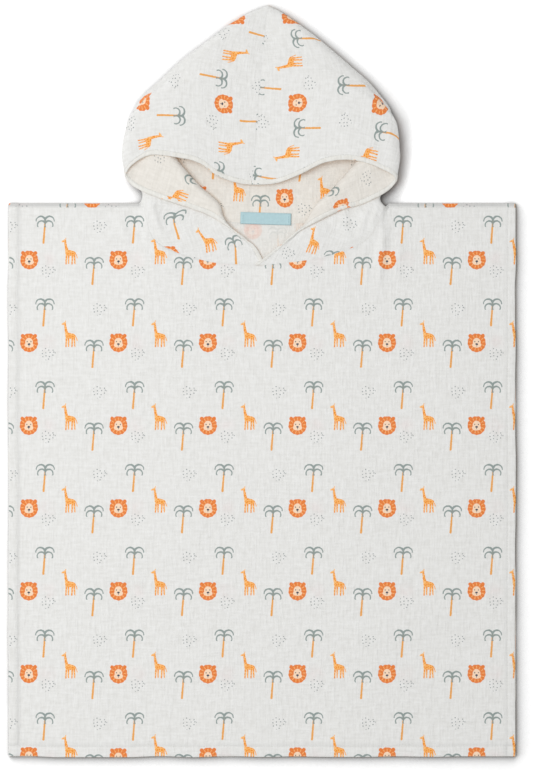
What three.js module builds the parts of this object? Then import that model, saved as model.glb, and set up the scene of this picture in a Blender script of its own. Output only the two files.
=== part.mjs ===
// Hooded bath poncho of cotton double gauze, laid flat on its back with the hood's mouth upwards.
// Millimetres. +X is the viewer's right, +Y points from the hem to the hood's peak, +Z is up.
import * as THREE from 'three';

// Driving sizes
const BODY_WIDTH = 600;          // side hem to side hem
const BODY_LENGTH = 655;         // shoulder line to bottom hem
const WALL = 1.2;                // one panel of the body
const LAYER = 1.0;               // the hood's outer panel, and its lining
const SEAM_GAP = 0.3;            // between two pieces that are sewn together
const NECK_EASE = 0.7;           // from the hood's neck row to the body's cut edge
const SIDE_HEM = 10;
const BOTTOM_HEM = 13;
const HEM_RISE = 0.8;            // what the turned-in cloth adds
const HEM_STEP = 2;              // width of the step down from a hem
const LABEL_WIDTH = 60;
const LABEL_HEIGHT = 14;
const LABEL_WALL = 1;
const LABEL_STEPS = 4;           // of its mesh, along it

const HALF_SHEET = SEAM_GAP / 2 + LAYER; // from the hood's middle surface to its outermost face
const FLOOR_LAYER = HALF_SHEET;          // height of the hood's middle surface where it lies on its back

// The hood, one row for each level from the neck seam (first) to the top seam (last).
// Measured from the middle of the shoulder line. Every row runs
//   front  the free edge round the face
//   dip    a point of the turned-out front, or of the hollow behind the mouth's edge
//   crest  where the front rolls outwards, with the roll's radius, 0 where it doesn't
//   collar a point of the collar, halfway to the bend where it isn't given
//   bend   a point of the collar, or of the hood's top
//   side   the fold at the hood's side, with the turn's radius
//   under  a point of the layer that lies on the table, halfway to the nape where it isn't given
// and ends at the nape, the back seam.
const NAPE = [
  [-15, -24.5], [-15, -9], [-14.5, 7], [-13.5, 24], [-12.5, 42], [-10.5, 66], [-9, 84], [-8, 95], [-7.5, 102],
  [-6, 112], [-4.5, 126], [-3.5, 139], [-0.5, 168], [2, 190], [4, 208], [6, 221], [7, 228],
];
const TOP_SEAM = {
  front: [-12, 22, 8.5], dip: [-7, 72, 11.5], crest: [-1.5, 145, 12], roll: 0, bend: [3, 195, 8],
  side: [7, 233.5], turn: 2.6,
};
const LEFT_ROWS = [
  { front: [4, -73.5, 3.2], dip: [-5, -73.4, 3.3], crest: [-16, -73, 3.4], roll: 0, collar: [-72, -67.5, 4],
    bend: [-127, -44, 5.2], side: [-143.5, 0], turn: 2.6, under: [-80, -15] },
  { front: [-9, -50.5, 4.6], dip: [-15, -50, 4.7], crest: [-23, -49.6, 4.8], roll: 0,
    collar: [-70, -47, 5.4], bend: [-119, -30, 6], side: [-142, 3.5], turn: 2.7 },
  { front: [-33, -33.5, 8.5], dip: [-37, -29.5, 7.4], crest: [-44, -25, 6], roll: 0,
    collar: [-78, -24, 5.8], bend: [-114, -15, 6], side: [-141, 7], turn: 2.8 },
  { front: [-57.5, -16.5, 9.8], dip: [-55, -9, 11.4], crest: [-51, -1, 8], roll: 3.2, bend: [-104, -4, 5.6],
    side: [-141, 12], turn: 2.8 },
  { front: [-82, -6.5, 9.8], dip: [-77.5, 6, 12.6], crest: [-73, 19, 10.2], roll: 4.4, bend: [-110, 10, 6],
    side: [-144.5, 20], turn: 2.8 },
  { front: [-119, 5.5, 10.2], dip: [-113, 31, 13.6], crest: [-105.5, 57, 10.2], roll: 4,
    bend: [-130, 47, 6.6], side: [-152.5, 46], turn: 2.8 },
  { front: [-141, 14, 10.6], dip: [-133.5, 46, 13.2], crest: [-124, 84, 10], roll: 3.4,
    bend: [-140, 76, 6.4], side: [-156.5, 69], turn: 2.7 },
  { front: [-154.5, 22, 10.4], dip: [-148, 58, 11], crest: [-133, 99, 9.6], roll: 2.9,
    bend: [-146, 90, 6.8], side: [-157, 80], turn: 2.9 },
  { front: [-160.5, 31, 13.2], dip: [-164.5, 60, 13.8], crest: [-158.5, 91, 12.4], roll: 0,
    bend: [-154.5, 101, 11], side: [-149.5, 113], turn: 4.2 },
  { front: [-157, 40.5, 16.6], dip: [-155, 68, 18], crest: [-149, 104, 15.6], roll: 0,
    bend: [-147.5, 111, 13], side: [-146, 119], turn: 4.6 },
  { front: [-144.5, 51, 17.4], dip: [-142, 74, 17.6], crest: [-139, 110, 17.5], roll: 0,
    bend: [-137.5, 120, 15], side: [-136.5, 130.5], turn: 4.8 },
  { front: [-131, 56.5, 18], dip: [-130, 80, 18], crest: [-127, 118, 18.5], roll: 0,
    bend: [-125.5, 130, 15.5], side: [-124.5, 141], turn: 5 },
  { front: [-102, 54, 17.8], dip: [-99, 84, 17.4], crest: [-96, 134, 18.5], roll: 0, bend: [-94, 154, 15],
    side: [-92.5, 170.5], turn: 5 },
  { front: [-74.5, 47.5, 15.6], dip: [-72, 84, 16], crest: [-68, 140, 17], roll: 0, bend: [-65, 170, 14],
    side: [-62, 193], turn: 5 },
  { front: [-52.5, 32.5, 13], dip: [-49, 76, 14], crest: [-44, 142, 15], roll: 0, bend: [-40, 181, 12],
    side: [-36.5, 212], turn: 4.4 },
  { front: [-28.5, 24, 9.5], dip: [-25, 72, 12.5], crest: [-18.5, 143, 13], roll: 0,
    bend: [-14.5, 190, 9.5], side: [-11, 226.5], turn: 3.4 },
  TOP_SEAM,
];
const RIGHT_ROWS = [
  { front: [-8, -73, 6.2], dip: [1, -73, 5.8], crest: [12, -72.6, 5.4], roll: 0, collar: [68, -65.4, 4.4],
    bend: [125.5, -41.5, 5.2], side: [146.5, -5], turn: 2.6, under: [62, -22] },
  { front: [14, -55.5, 7.5], dip: [20, -54.8, 7.3], crest: [28, -54, 7], roll: 0, collar: [72, -48.5, 5.8],
    bend: [117, -30, 6], side: [143, -2], turn: 2.7 },
  { front: [40.5, -35.5, 9.5], dip: [45, -31.5, 8.4], crest: [51, -27, 7], roll: 0, collar: [80, -25, 6.2],
    bend: [112, -16, 6.2], side: [140, 2], turn: 2.8 },
  { front: [70, -19, 9.8], dip: [67, -11.5, 11.4], crest: [62.5, -3.5, 8], roll: 3.2, bend: [103, -5, 5.6],
    side: [139, 7], turn: 2.8 },
  { front: [95, -7.5, 9.8], dip: [87.5, 1, 12.4], crest: [78, 10.5, 10], roll: 4, bend: [111, 6, 6],
    side: [142, 14], turn: 2.8 },
  { front: [117.5, -1, 10], dip: [113, 20, 13.6], crest: [107.5, 43.5, 10.8], roll: 4, bend: [129, 39, 6.6],
    side: [149, 38], turn: 2.8 },
  { front: [138.5, 8.5, 10.6], dip: [133, 37, 13], crest: [126.5, 68, 10], roll: 3.4, bend: [140, 64, 6.4],
    side: [153.5, 60], turn: 2.7 },
  { front: [151.5, 17, 10.4], dip: [147, 47, 11], crest: [135, 86, 9.6], roll: 2.9, bend: [147, 79, 6.8],
    side: [156, 72], turn: 2.9 },
  { front: [158.5, 27, 13.2], dip: [162, 57, 13.8], crest: [159, 87, 12.4], roll: 0, bend: [156, 97, 11],
    side: [151.5, 109.5], turn: 4.2 },
  { front: [153.5, 33.5, 16.6], dip: [153, 64, 18], crest: [150.5, 102, 15.6], roll: 0,
    bend: [149, 109, 13], side: [147.5, 116.5], turn: 4.6 },
  { front: [140, 40.5, 17.4], dip: [139.5, 70, 17.6], crest: [139, 109, 17.5], roll: 0,
    bend: [138.5, 119, 15], side: [138, 128.5], turn: 4.8 },
  { front: [125.5, 46.5, 18], dip: [126, 76, 17.8], crest: [127, 118, 18.5], roll: 0,
    bend: [127, 131, 15.5], side: [127, 141.5], turn: 5 },
  { front: [101.5, 51, 17.6], dip: [101.5, 83, 17.4], crest: [101.5, 130, 18.5], roll: 0,
    bend: [101.5, 148, 15], side: [102, 163.5], turn: 5 },
  { front: [73.5, 47.5, 15.6], dip: [74, 82, 16], crest: [75, 137, 17], roll: 0, bend: [75.5, 164, 14],
    side: [76, 186], turn: 5 },
  { front: [45, 34, 13.5], dip: [46, 76, 14], crest: [47, 141, 15], roll: 0, bend: [48.5, 177, 12],
    side: [50, 206.5], turn: 4.4 },
  { front: [15.5, 23.5, 9.5], dip: [17, 72, 12.5], crest: [19, 143, 13], roll: 0, bend: [21.5, 188, 9.5],
    side: [24, 224.5], turn: 3.4 },
  TOP_SEAM,
];

// Steps of the mesh between the points of a row, and between the rows
const ROW_STEPS = [1, 1, 2, 2, 1, 2, 1, 2, 2, 2, 2];
const LEVEL_STEPS = [1, 1, 2, 2, 1, 1, 1, 3, 3, 1, 1, 2, 1, 1, 1, 1];
const FULL_ROLL = 3; // a crest of this radius or more is a whole roll
const EVEN_SHARE = 0.35; // of the way to the bend, between a crest's points where the cloth doesn't roll

function between(a, b, share) {
  return a.map((value, axis) => value + (b[axis] - value) * share);
}

function distance(from, to) {
  return Math.hypot(to[0] - from[0], to[1] - from[1]);
}

function unit(from, to) {
  const [x, y] = [to[0] - from[0], to[1] - from[1]];
  const length = Math.hypot(x, y);
  return [x / length, y / length];
}

// The points of one row in order, with three points on each fold
function rowPoints(row, nape) {
  const { front, dip, crest, roll, bend, side, turn } = row;
  const next = row.collar ?? bend;
  const rolled = Math.min(1, roll / FULL_ROLL);
  const away = unit(between(dip, next, 0.5), crest);
  const along = unit(dip, next);
  const spread = Math.min(distance(dip, crest), distance(crest, next)) * EVEN_SHARE * (1 - rolled);
  const crestPoint = (sign) => [
    crest[0] - away[0] * roll * rolled - sign * along[0] * spread,
    crest[1] - away[1] * roll * rolled - sign * along[1] * spread,
    crest[2] + sign * roll,
  ];
  const collar = row.collar ?? between(crestPoint(-1), bend, 0.5);
  const out = unit(between(bend, nape, 0.5), side);
  const sidePoint = (sign) => [
    side[0] - out[0] * turn,
    side[1] - out[1] * turn,
    FLOOR_LAYER + turn * (1 + sign),
  ];
  const sideTip = [side[0], side[1], FLOOR_LAYER + turn];
  const under = row.under ?? between(sidePoint(-1), nape, 0.5);
  return [
    front, dip, crestPoint(1), crest, crestPoint(-1), collar, bend, sidePoint(1), sideTip, sidePoint(-1),
    [under[0], under[1], FLOOR_LAYER], [nape[0], nape[1], FLOOR_LAYER],
  ];
}

// A smooth line through points, with a chosen number of steps in each stretch
function smooth(points, steps) {
  const curve = new THREE.CatmullRomCurve3(points, false, 'centripetal');
  const line = [curve.getPoint(0)];
  steps.forEach((count, stretch) => {
    for (let i = 1; i <= count; i += 1) line.push(curve.getPoint((stretch + i / count) / steps.length));
  });
  return line;
}

// The middle surface of one half of the hood: levels from the neck up, each from the front edge to the nape
function hoodSurface(rows) {
  const lines = rows.map((row, level) => smooth(
    rowPoints(row, NAPE[level]).map((point) => new THREE.Vector3(...point)),
    ROW_STEPS,
  ));
  const columns = lines[0].map((_, j) => smooth(lines.map((line) => line[j]), LEVEL_STEPS));
  const grid = columns[0].map((_, i) => columns.map((column) => column[i]));
  grid.flat().forEach((point) => { point.z = Math.max(point.z, FLOOR_LAYER); });
  return grid;
}

// Face directions of a surface, from its neighbours along both ways; turned over for the hood's right half
function surfaceNormals(grid, flip) {
  return grid.map((line, i) => line.map((_, j) => {
    const up = grid[Math.min(i + 1, grid.length - 1)][j].clone().sub(grid[Math.max(i - 1, 0)][j]);
    const back = line[Math.min(j + 1, line.length - 1)].clone().sub(line[Math.max(j - 1, 0)]);
    return up.cross(back).multiplyScalar(flip).normalize();
  }));
}

// One closed wall between two sheets of points of the same size
function wallGeometry(top, bottom, flip = false) {
  const rows = top.length;
  const columns = top[0].length;
  const positions = [...top.flat(), ...bottom.flat()].flatMap((point) => [point.x, point.y, point.z]);
  const at = (i, j, sheet) => sheet * rows * columns + i * columns + j;
  const faces = [];
  const quad = (a, b, c, d) => faces.push(...(flip ? [a, c, b, a, d, c] : [a, b, c, a, c, d]));
  for (let i = 0; i < rows - 1; i += 1) {
    for (let j = 0; j < columns - 1; j += 1) {
      quad(at(i, j, 0), at(i + 1, j, 0), at(i + 1, j + 1, 0), at(i, j + 1, 0));
      quad(at(i, j, 1), at(i, j + 1, 1), at(i + 1, j + 1, 1), at(i + 1, j, 1));
    }
  }
  const rim = [];
  for (let j = 0; j < columns - 1; j += 1) rim.push([0, j]);
  for (let i = 0; i < rows - 1; i += 1) rim.push([i, columns - 1]);
  for (let j = columns - 1; j > 0; j -= 1) rim.push([rows - 1, j]);
  for (let i = rows - 1; i > 0; i -= 1) rim.push([i, 0]);
  rim.forEach(([i, j], k) => {
    const [m, n] = rim[(k + 1) % rim.length];
    quad(at(i, j, 0), at(m, n, 0), at(m, n, 1), at(i, j, 1));
  });
  const geometry = new THREE.BufferGeometry();
  geometry.setAttribute('position', new THREE.Float32BufferAttribute(positions, 3));
  geometry.setIndex(faces);
  geometry.computeVertexNormals();
  return geometry;
}

function offset(grid, normals, distance) {
  const moved = (point, i, j) => point.clone().addScaledVector(normals[i][j], distance);
  return grid.map((line, i) => line.map((point, j) => moved(point, i, j)));
}

// Two halves that share their top and back seams: the same face directions there, and a small gap between
function seamHalves(left, right) {
  const leftNormals = surfaceNormals(left, 1);
  const rightNormals = surfaceNormals(right, -1);
  const last = left.length - 1;
  const back = left[0].length - 1;
  const shared = [...left[0].map((_, j) => [last, j]), ...left.map((_, i) => [i, back])];
  shared.forEach(([i, j]) => {
    const mean = leftNormals[i][j].clone().add(rightNormals[i][j]).normalize();
    leftNormals[i][j].copy(mean);
    rightNormals[i][j].copy(mean);
  });
  [left, right].forEach((grid) => {
    grid[last].forEach((point, j) => {
      point.addScaledVector(grid[last - 1][j].clone().sub(point).normalize(), SEAM_GAP);
    });
    grid.slice(0, last).forEach((line) => {
      line[back].addScaledVector(line[back - 1].clone().sub(line[back]).normalize(), SEAM_GAP);
    });
  });
  return [leftNormals, rightNormals];
}

const leftHood = hoodSurface(LEFT_ROWS);
const rightHood = hoodSurface(RIGHT_ROWS);
const [leftNormals, rightNormals] = seamHalves(leftHood, rightHood);

// The body's neck edges, taken from the hood's neck row so that they meet all the way round
const SIDE_TIP = 8; // number of the side's tip among a row's points
const SIDE_COLUMN = ROW_STEPS.slice(0, SIDE_TIP).reduce((sum, count) => sum + count, 0);
const LEAST_STEP = 0.6; // between two columns of a panel
const SAME_PLACE = LEAST_STEP / 10; // two columns nearer than this are one

// Edge points in order of x, moved off the hood's row by the ease, each a column of its panel
function neckEdge(points, middle) {
  const edge = points.map((point, k) => {
    const [a, b] = [points[Math.max(k - 1, 0)], points[Math.min(k + 1, points.length - 1)]];
    const [dx, dy] = unit([a.x, a.y], [b.x, b.y]);
    return { x: point.x + dy * NECK_EASE, y: point.y - dx * NECK_EASE, z: point.z };
  });
  for (let k = middle - 1; k >= 0; k -= 1) {
    edge[k].x = Math.min(edge[k].x, edge[k + 1].x - LEAST_STEP);
  }
  for (let k = middle + 1; k < edge.length; k += 1) {
    edge[k].x = Math.max(edge[k].x, edge[k - 1].x + LEAST_STEP);
  }
  return edge;
}

// The two fronts cross at the middle of the neck, so one point stands there for both
const CROSSING = new THREE.Vector3(-2, -73.6, 3.6);
const CROSSING_REACH = 7;
const leftRow = leftHood[0].slice(0, SIDE_COLUMN + 1);
const rightRow = rightHood[0].slice(0, SIDE_COLUMN + 1);
const leftFront = leftRow.filter((point) => point.x < CROSSING.x - CROSSING_REACH);
const rightFront = rightRow.filter((point) => point.x > CROSSING.x + CROSSING_REACH);
const frontNeck = neckEdge([...leftFront.reverse(), CROSSING, ...rightFront], leftFront.length);
const leftBack = leftHood[0].slice(SIDE_COLUMN);
const rightBack = rightHood[0].slice(SIDE_COLUMN, -1);
const backNeck = neckEdge([...leftBack, ...rightBack.reverse()], leftBack.length);

// Soft folds of the front panel: from the first point to the second, with height and half width
const FRONT_FOLDS = [
  { from: [-158, -52], to: [-84, -86], height: 2.2, width: 11 },
  { from: [150, -14], to: [137, -105], height: 2.6, width: 9 },
  { from: [168, -22], to: [158, -96], height: 1.6, width: 10 },
  { from: [-168, -8], to: [-158, -60], height: 1.8, width: 10 },
  { from: [-250, -120], to: [-120, -190], height: 1.4, width: 22 },
  { from: [40, -250], to: [210, -300], height: 1.3, width: 26 },
  { from: [-230, -430], to: [-60, -400], height: 1.4, width: 24 },
  { from: [90, -520], to: [240, -470], height: 1.3, width: 24 },
];
const WAVE_HEIGHT = 0.6;
const WAVE_ACROSS = 170;  // length of the slow waves across and along the panel
const WAVE_ALONG = 230;
const NECK_REACH = 34;    // how far the neck seam lifts the front panel
const SHOULDER_REACH = 14;
const LEVEL_REACH = 60;   // below the shoulders, where the slow waves reach their full height
const END_FADE = 4;       // how abruptly a fold ends: a higher power keeps its height for longer
const REST_MIDDLE = WALL + SEAM_GAP + WALL / 2; // height of the front panel's middle where nothing lifts it

function foldHeight(x, y) {
  return FRONT_FOLDS.reduce((sum, { from, to, height, width }) => {
    const [dx, dy] = [to[0] - from[0], to[1] - from[1]];
    const square = dx * dx + dy * dy;
    const share = ((x - from[0]) * dx + (y - from[1]) * dy) / square;
    const away = ((x - from[0]) * dy - (y - from[1]) * dx) / Math.sqrt(square);
    const ends = Math.max(0, 1 - (2 * share - 1) ** END_FADE);
    return sum + (share > 0 && share < 1 ? height * ends * Math.exp(-((away / width) ** 2)) : 0);
  }, 0);
}

// How much of a hem's rise a place gets
function hemShare(x, y) {
  const side = (Math.abs(x) - (BODY_WIDTH / 2 - SIDE_HEM - HEM_STEP)) / HEM_STEP;
  const bottom = (-y - (BODY_LENGTH - BOTTOM_HEM - HEM_STEP)) / HEM_STEP;
  return THREE.MathUtils.clamp(Math.max(side, bottom), 0, 1);
}

function neckLift(x, y, neck) {
  const first = neck[0];
  const last = neck[neck.length - 1];
  const beyond = Math.max(first.x - x, x - last.x, 0);
  const k = neck.findIndex((point) => point.x >= x);
  const edge = k < 0 ? last : neck[k];
  return (edge.z - REST_MIDDLE) * Math.exp(-beyond / SHOULDER_REACH) * Math.exp((y - edge.y) / NECK_REACH);
}

// The underside of the front panel: it lies on the back panel, a seam's gap above it
function frontUnderside(x, y) {
  const rest = WALL + SEAM_GAP + hemShare(x, y) * HEM_RISE;
  const wave = WAVE_HEIGHT * (1 + Math.sin((2 * Math.PI * x) / WAVE_ACROSS + y / WAVE_ALONG)) / 2;
  const inside = 1 - hemShare(x, y);
  const folds = inside * (wave * Math.min(1, -y / LEVEL_REACH) + foldHeight(x, y));
  return rest + folds + Math.max(0, neckLift(x, y, frontNeck));
}

// Where the columns of a body panel stand: its hems, its shoulders and its neck
function panelColumns(neck, shoulderSteps) {
  const half = BODY_WIDTH / 2;
  const hem = [half, half - SIDE_HEM, half - SIDE_HEM - HEM_STEP];
  const shoulder = (end) => Array.from(
    { length: shoulderSteps },
    (_, k) => THREE.MathUtils.lerp(end, Math.sign(end) * hem[2], (k + 1) / shoulderSteps),
  );
  return [
    -hem[0], -hem[1], ...shoulder(neck[0].x).reverse(), ...neck.map((point) => point.x),
    ...shoulder(neck[neck.length - 1].x), hem[1], hem[0],
  ];
}

// The top of a column: the neck's edge between the shoulders, the shoulder line elsewhere
function columnTop(x, neck) {
  const point = neck.find((edge) => Math.abs(edge.x - x) < SAME_PLACE);
  return point ? Math.min(point.y, 0) : 0;
}

// Steps of a panel's mesh down its length and along each shoulder, and how they crowd towards the neck
const BACK_MESH = { levels: 6, crowding: 1.4, shoulder: 4 };
const FRONT_MESH = { levels: 18, crowding: 1.5, shoulder: 7 };

function bodyPanel(neck, mesh, underside) {
  const hemTop = -(BODY_LENGTH - BOTTOM_HEM - HEM_STEP);
  const levels = [-BODY_LENGTH, -(BODY_LENGTH - BOTTOM_HEM)];
  const shares = levelShares(mesh.levels, mesh.crowding);
  const columns = panelColumns(neck, mesh.shoulder).map((x) => {
    const top = columnTop(x, neck);
    const above = shares.map((share) => THREE.MathUtils.lerp(hemTop, top, share));
    return [...levels, ...above].map((y) => ({ x, y }));
  });
  const lower = columns.map((column) => (
    column.map(({ x, y }) => new THREE.Vector3(x, y, underside(x, y)))
  ));
  const upper = lower.map((column) => column.map(({ x, y, z }) => (
    new THREE.Vector3(x, y, z + WALL + hemShare(x, y) * HEM_RISE)
  )));
  return wallGeometry(upper, lower);
}

// Share of the way from the bottom hem to the panel's top, closer together towards the neck
function levelShares(count, crowding) {
  return Array.from({ length: count + 1 }, (_, k) => 1 - (1 - k / count) ** crowding);
}

function labelGeometry() {
  const lining = FLOOR_LAYER + HALF_SHEET;
  const shape = new THREE.BoxGeometry(LABEL_WIDTH, LABEL_HEIGHT, LABEL_WALL, LABEL_STEPS);
  return shape.translate(0, 0, lining + SEAM_GAP + LABEL_WALL / 2);
}
const LABEL_PLACE = [4.5, -18]; // its middle, just inside the back neck seam
const LABEL_TILT = -0.03;

const gauze = (name, color) => new THREE.MeshStandardMaterial({ name, color, roughness: 0.95, metalness: 0 });
const OUTER_CLOTH = gauze('printed double gauze', 0xe9e8e4);
const LINING_CLOTH = gauze('printed double gauze, lining', 0xece6da);
const LABEL_CLOTH = gauze('woven label', 0xa9cfd2);

function piece(name, geometry, material) {
  const mesh = new THREE.Mesh(geometry, material);
  mesh.name = name;
  return mesh;
}

function hoodPiece(name, grid, normals, inner, outer, material, flip) {
  const geometry = wallGeometry(offset(grid, normals, outer), offset(grid, normals, inner), flip);
  return piece(name, geometry, material);
}

const NEAR = SEAM_GAP / 2;
const label = piece('neck_label', labelGeometry(), LABEL_CLOTH);
label.position.set(...LABEL_PLACE, 0);
label.rotation.z = LABEL_TILT;

const poncho = new THREE.Group();
poncho.add(
  piece('body_back', bodyPanel(backNeck, BACK_MESH, () => 0), OUTER_CLOTH),
  piece('body_front', bodyPanel(frontNeck, FRONT_MESH, frontUnderside), OUTER_CLOTH),
  hoodPiece('hood_left', leftHood, leftNormals, NEAR, HALF_SHEET, OUTER_CLOTH, false),
  hoodPiece('hood_right', rightHood, rightNormals, NEAR, HALF_SHEET, OUTER_CLOTH, true),
  hoodPiece('hood_lining_left', leftHood, leftNormals, -HALF_SHEET, -NEAR, LINING_CLOTH, false),
  hoodPiece('hood_lining_right', rightHood, rightNormals, -HALF_SHEET, -NEAR, LINING_CLOTH, true),
  label,
);

// The origin is under the middle of the whole piece, on the surface that it lies on
poncho.updateMatrixWorld(true);
const box = new THREE.Box3().setFromObject(poncho, true);
poncho.position.set(-(box.min.x + box.max.x) / 2, -(box.min.y + box.max.y) / 2, -box.min.z);

export default poncho;
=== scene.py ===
# Hooded bath poncho of printed cotton double gauze, laid flat on its back with the hood's mouth upwards.
import math

import bpy
import numpy as np
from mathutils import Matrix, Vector


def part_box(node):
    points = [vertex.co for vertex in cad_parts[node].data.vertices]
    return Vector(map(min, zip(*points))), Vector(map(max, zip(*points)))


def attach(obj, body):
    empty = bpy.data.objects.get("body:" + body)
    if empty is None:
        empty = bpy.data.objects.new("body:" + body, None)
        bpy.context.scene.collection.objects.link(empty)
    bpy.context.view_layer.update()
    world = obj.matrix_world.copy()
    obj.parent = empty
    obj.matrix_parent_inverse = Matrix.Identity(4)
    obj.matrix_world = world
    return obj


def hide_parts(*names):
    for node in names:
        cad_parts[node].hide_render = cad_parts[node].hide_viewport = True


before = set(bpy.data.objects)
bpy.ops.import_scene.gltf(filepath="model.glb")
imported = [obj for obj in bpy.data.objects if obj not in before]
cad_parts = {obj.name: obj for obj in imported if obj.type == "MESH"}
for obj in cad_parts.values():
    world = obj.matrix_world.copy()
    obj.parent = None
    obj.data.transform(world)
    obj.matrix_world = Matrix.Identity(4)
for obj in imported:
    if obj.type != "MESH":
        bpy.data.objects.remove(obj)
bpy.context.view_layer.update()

# Camera
# Straight above the garment, far enough away that the hood isn't drawn larger than the body.
# Distances are in metres.
IMAGE_HEIGHT = 774  # pixels, of an image 533 wide
GROUND_SIZE = 1.185  # mm on the ground for each pixel of that image
AIM = (0.0053, -0.0071)  # from the garment's middle
CAMERA_HEIGHT = 3.2
SENSOR_HEIGHT = 24.0
FARTHEST = 20.0

camera_data = bpy.data.cameras.new("camera")
camera_data.sensor_fit = "VERTICAL"
camera_data.sensor_height = SENSOR_HEIGHT
camera_data.lens = SENSOR_HEIGHT * CAMERA_HEIGHT / (IMAGE_HEIGHT * GROUND_SIZE / 1000)
camera_data.clip_end = FARTHEST
camera = bpy.data.objects.new("camera", camera_data)
camera.location = (*AIM, CAMERA_HEIGHT)
bpy.context.scene.collection.objects.link(camera)
bpy.context.scene.camera = camera

# Back panel
# One rectangle of cotton double gauze with hemmed sides and bottom, joined to the front along the shoulders.
# Its printed side lies on the table. The wrong side shows through the neck, with the print faint on it.
# Sizes in mm, from the middle of the shoulder line.
BODY_WIDTH = 600.0
BODY_LENGTH = 655.0
CLOTH = 1.0  # the cloth's thickness
SIDE_HEM = 10.0
BOTTOM_HEM = 13.0
HEM_RISE = 0.8
HEM_STEP = 2.0  # over which a hem rises
BACK_STEP = 5.0  # between the panel's points
FLOOR_LAYER = 1.15  # the hood's middle surface, where it lies on the table
# Points close to a panel's edges, in mm from them, where the cloth is rounded, hemmed and stitched
TOP_STEPS = [0.0, 0.4, 1.1, 2.6, 4.9, 5.1, 7.2]
SIDE_STEPS = [0.0, 0.4, 1.2, 3.2, 5.6, 7.8, 8.6, 9.3, 10.0, 10.8, 12.2]
BOTTOM_STEPS = [0.0, 0.4, 1.2, 3.2, 5.6, 8.0, 10.2, 11.4, 12.2, 13.0, 13.8, 15.2]

lowest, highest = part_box("body_front")
SHOULDER = np.array([(lowest.x + highest.x) / 2, lowest.y + BODY_LENGTH / 1000, 0.0])

# The neck seam, which the hood and both panels share. A row of the hood runs
#   front   the free edge round the face
#   dip     a point of the turned-out front, or of the hollow behind the mouth's edge
#   crest   where the front rolls outwards
#   roll    that roll's radius, 0 where it doesn't roll
#   bend    a point of the collar, or of the hood's top
#   side    the fold at the hood's side
#   turn    that fold's radius
#   collar  a point of the collar, halfway from the crest to the bend where it isn't given
#   under   a point of the layer that lies on the table, halfway to the nape where it isn't given
# and ends at the nape, the back seam.
NECK_NAPE = (-15, -24.5)
NECK_LEFT = ((4, -73.5, 3.2), (-5, -73.4, 3.3), (-16, -73, 3.4), 0, (-127, -44, 5.2), (-143.5, 0), 2.6,
             (-72, -67.5, 4), (-80, -15))
NECK_RIGHT = ((-8, -73, 6.2), (1, -73, 5.8), (12, -72.6, 5.4), 0, (125.5, -41.5, 5.2), (146.5, -5), 2.6,
              (68, -65.4, 4.4), (62, -22))
ROW_STEPS = [12, 14, 5, 5, 5, 8, 10, 3, 3, 22, 22]  # steps of the mesh between a row's points
SIDE_COLUMN = sum(ROW_STEPS[:8])
FULL_ROLL = 3.0  # the radius from which on a roll turns right over
EVEN_SHARE = 0.35  # how far a crest that doesn't roll is spread along the row


def unit(vectors):
    """The same directions, each with the length 1."""
    return vectors / np.linalg.norm(vectors, axis=-1, keepdims=True)


def row_points(row, nape):
    """The points of one row in order, with three points on each fold."""
    *points, collar, under = (*row, None, None)[:9]
    roll, turn = points.pop(3), points.pop()
    front, dip, crest, bend, side, nape = (np.array(point, float) for point in (*points, nape))
    onward = bend if collar is None else np.array(collar, float)
    rolled = min(1.0, roll / FULL_ROLL)
    away = unit((crest - (dip + onward) / 2)[:2])
    along = unit((onward - dip)[:2])
    reach = min(np.linalg.norm((dip - crest)[:2]), np.linalg.norm((onward - crest)[:2]))
    spread = reach * EVEN_SHARE * (1 - rolled)
    out = unit(side - (bend[:2] + nape) / 2)

    def crest_point(sign):
        return np.append(crest[:2] - away * roll * rolled - sign * along * spread, crest[2] + sign * roll)

    def side_point(sign):
        return np.append(side - out * turn, FLOOR_LAYER + turn * (1 + sign))

    if collar is None:
        onward = (crest_point(-1) + bend) / 2
    if under is None:
        under = (side_point(-1)[:2] + nape) / 2
    return np.array([
        front, dip, crest_point(1), crest, crest_point(-1), onward, bend, side_point(1),
        np.append(side, FLOOR_LAYER + turn), side_point(-1), np.append(under, FLOOR_LAYER),
        np.append(nape, FLOOR_LAYER),
    ])


def smooth(points, steps):
    """A smooth line through points along the first axis, with a number of steps in each stretch."""
    ends = np.concatenate([2 * points[:1] - points[1:2], points, 2 * points[-1:] - points[-2:-1]])
    line = [points[0]]
    for k, count in enumerate(steps):
        a, b, c, d = ends[k:k + 4]
        ab, bc, cd = (np.sqrt(np.linalg.norm(step, axis=-1, keepdims=True)) for step in (b - a, c - b, d - c))
        leave = ((b - a) / ab - (c - a) / (ab + bc) + (c - b) / bc) * bc
        arrive = ((c - b) / bc - (d - b) / (bc + cd) + (d - c) / cd) * bc
        for i in range(1, count + 1):
            t = i / count
            line.append(b + leave * t + (-3 * b + 3 * c - 2 * leave - arrive) * t ** 2
                        + (2 * b - 2 * c + leave + arrive) * t ** 3)
    return np.array(line)


LATTICE = 256  # seeded values each way, after which the noise repeats
LATTICE_START = 1000  # lumps from the lattice's corner to the middle of the shoulder line


def soft_noise(u, v, size_u, size_v, seed):
    """Smooth seeded noise from -1 to 1, with lumps of the given size along u and v."""
    lattice = np.random.default_rng(seed).uniform(-1, 1, (LATTICE, LATTICE))
    i, s = np.divmod(np.asarray(u) / size_u + LATTICE_START, 1)
    j, t = np.divmod(np.asarray(v) / size_v + LATTICE_START, 1)
    i, j = i.astype(int) % LATTICE, j.astype(int) % LATTICE
    beside, above = (i + 1) % LATTICE, (j + 1) % LATTICE
    s, t = s * s * (3 - 2 * s), t * t * (3 - 2 * t)
    low = lattice[i, j] * (1 - s) + lattice[beside, j] * s
    high = lattice[i, above] * (1 - s) + lattice[beside, above] * s
    return low * (1 - t) + high * t


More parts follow.
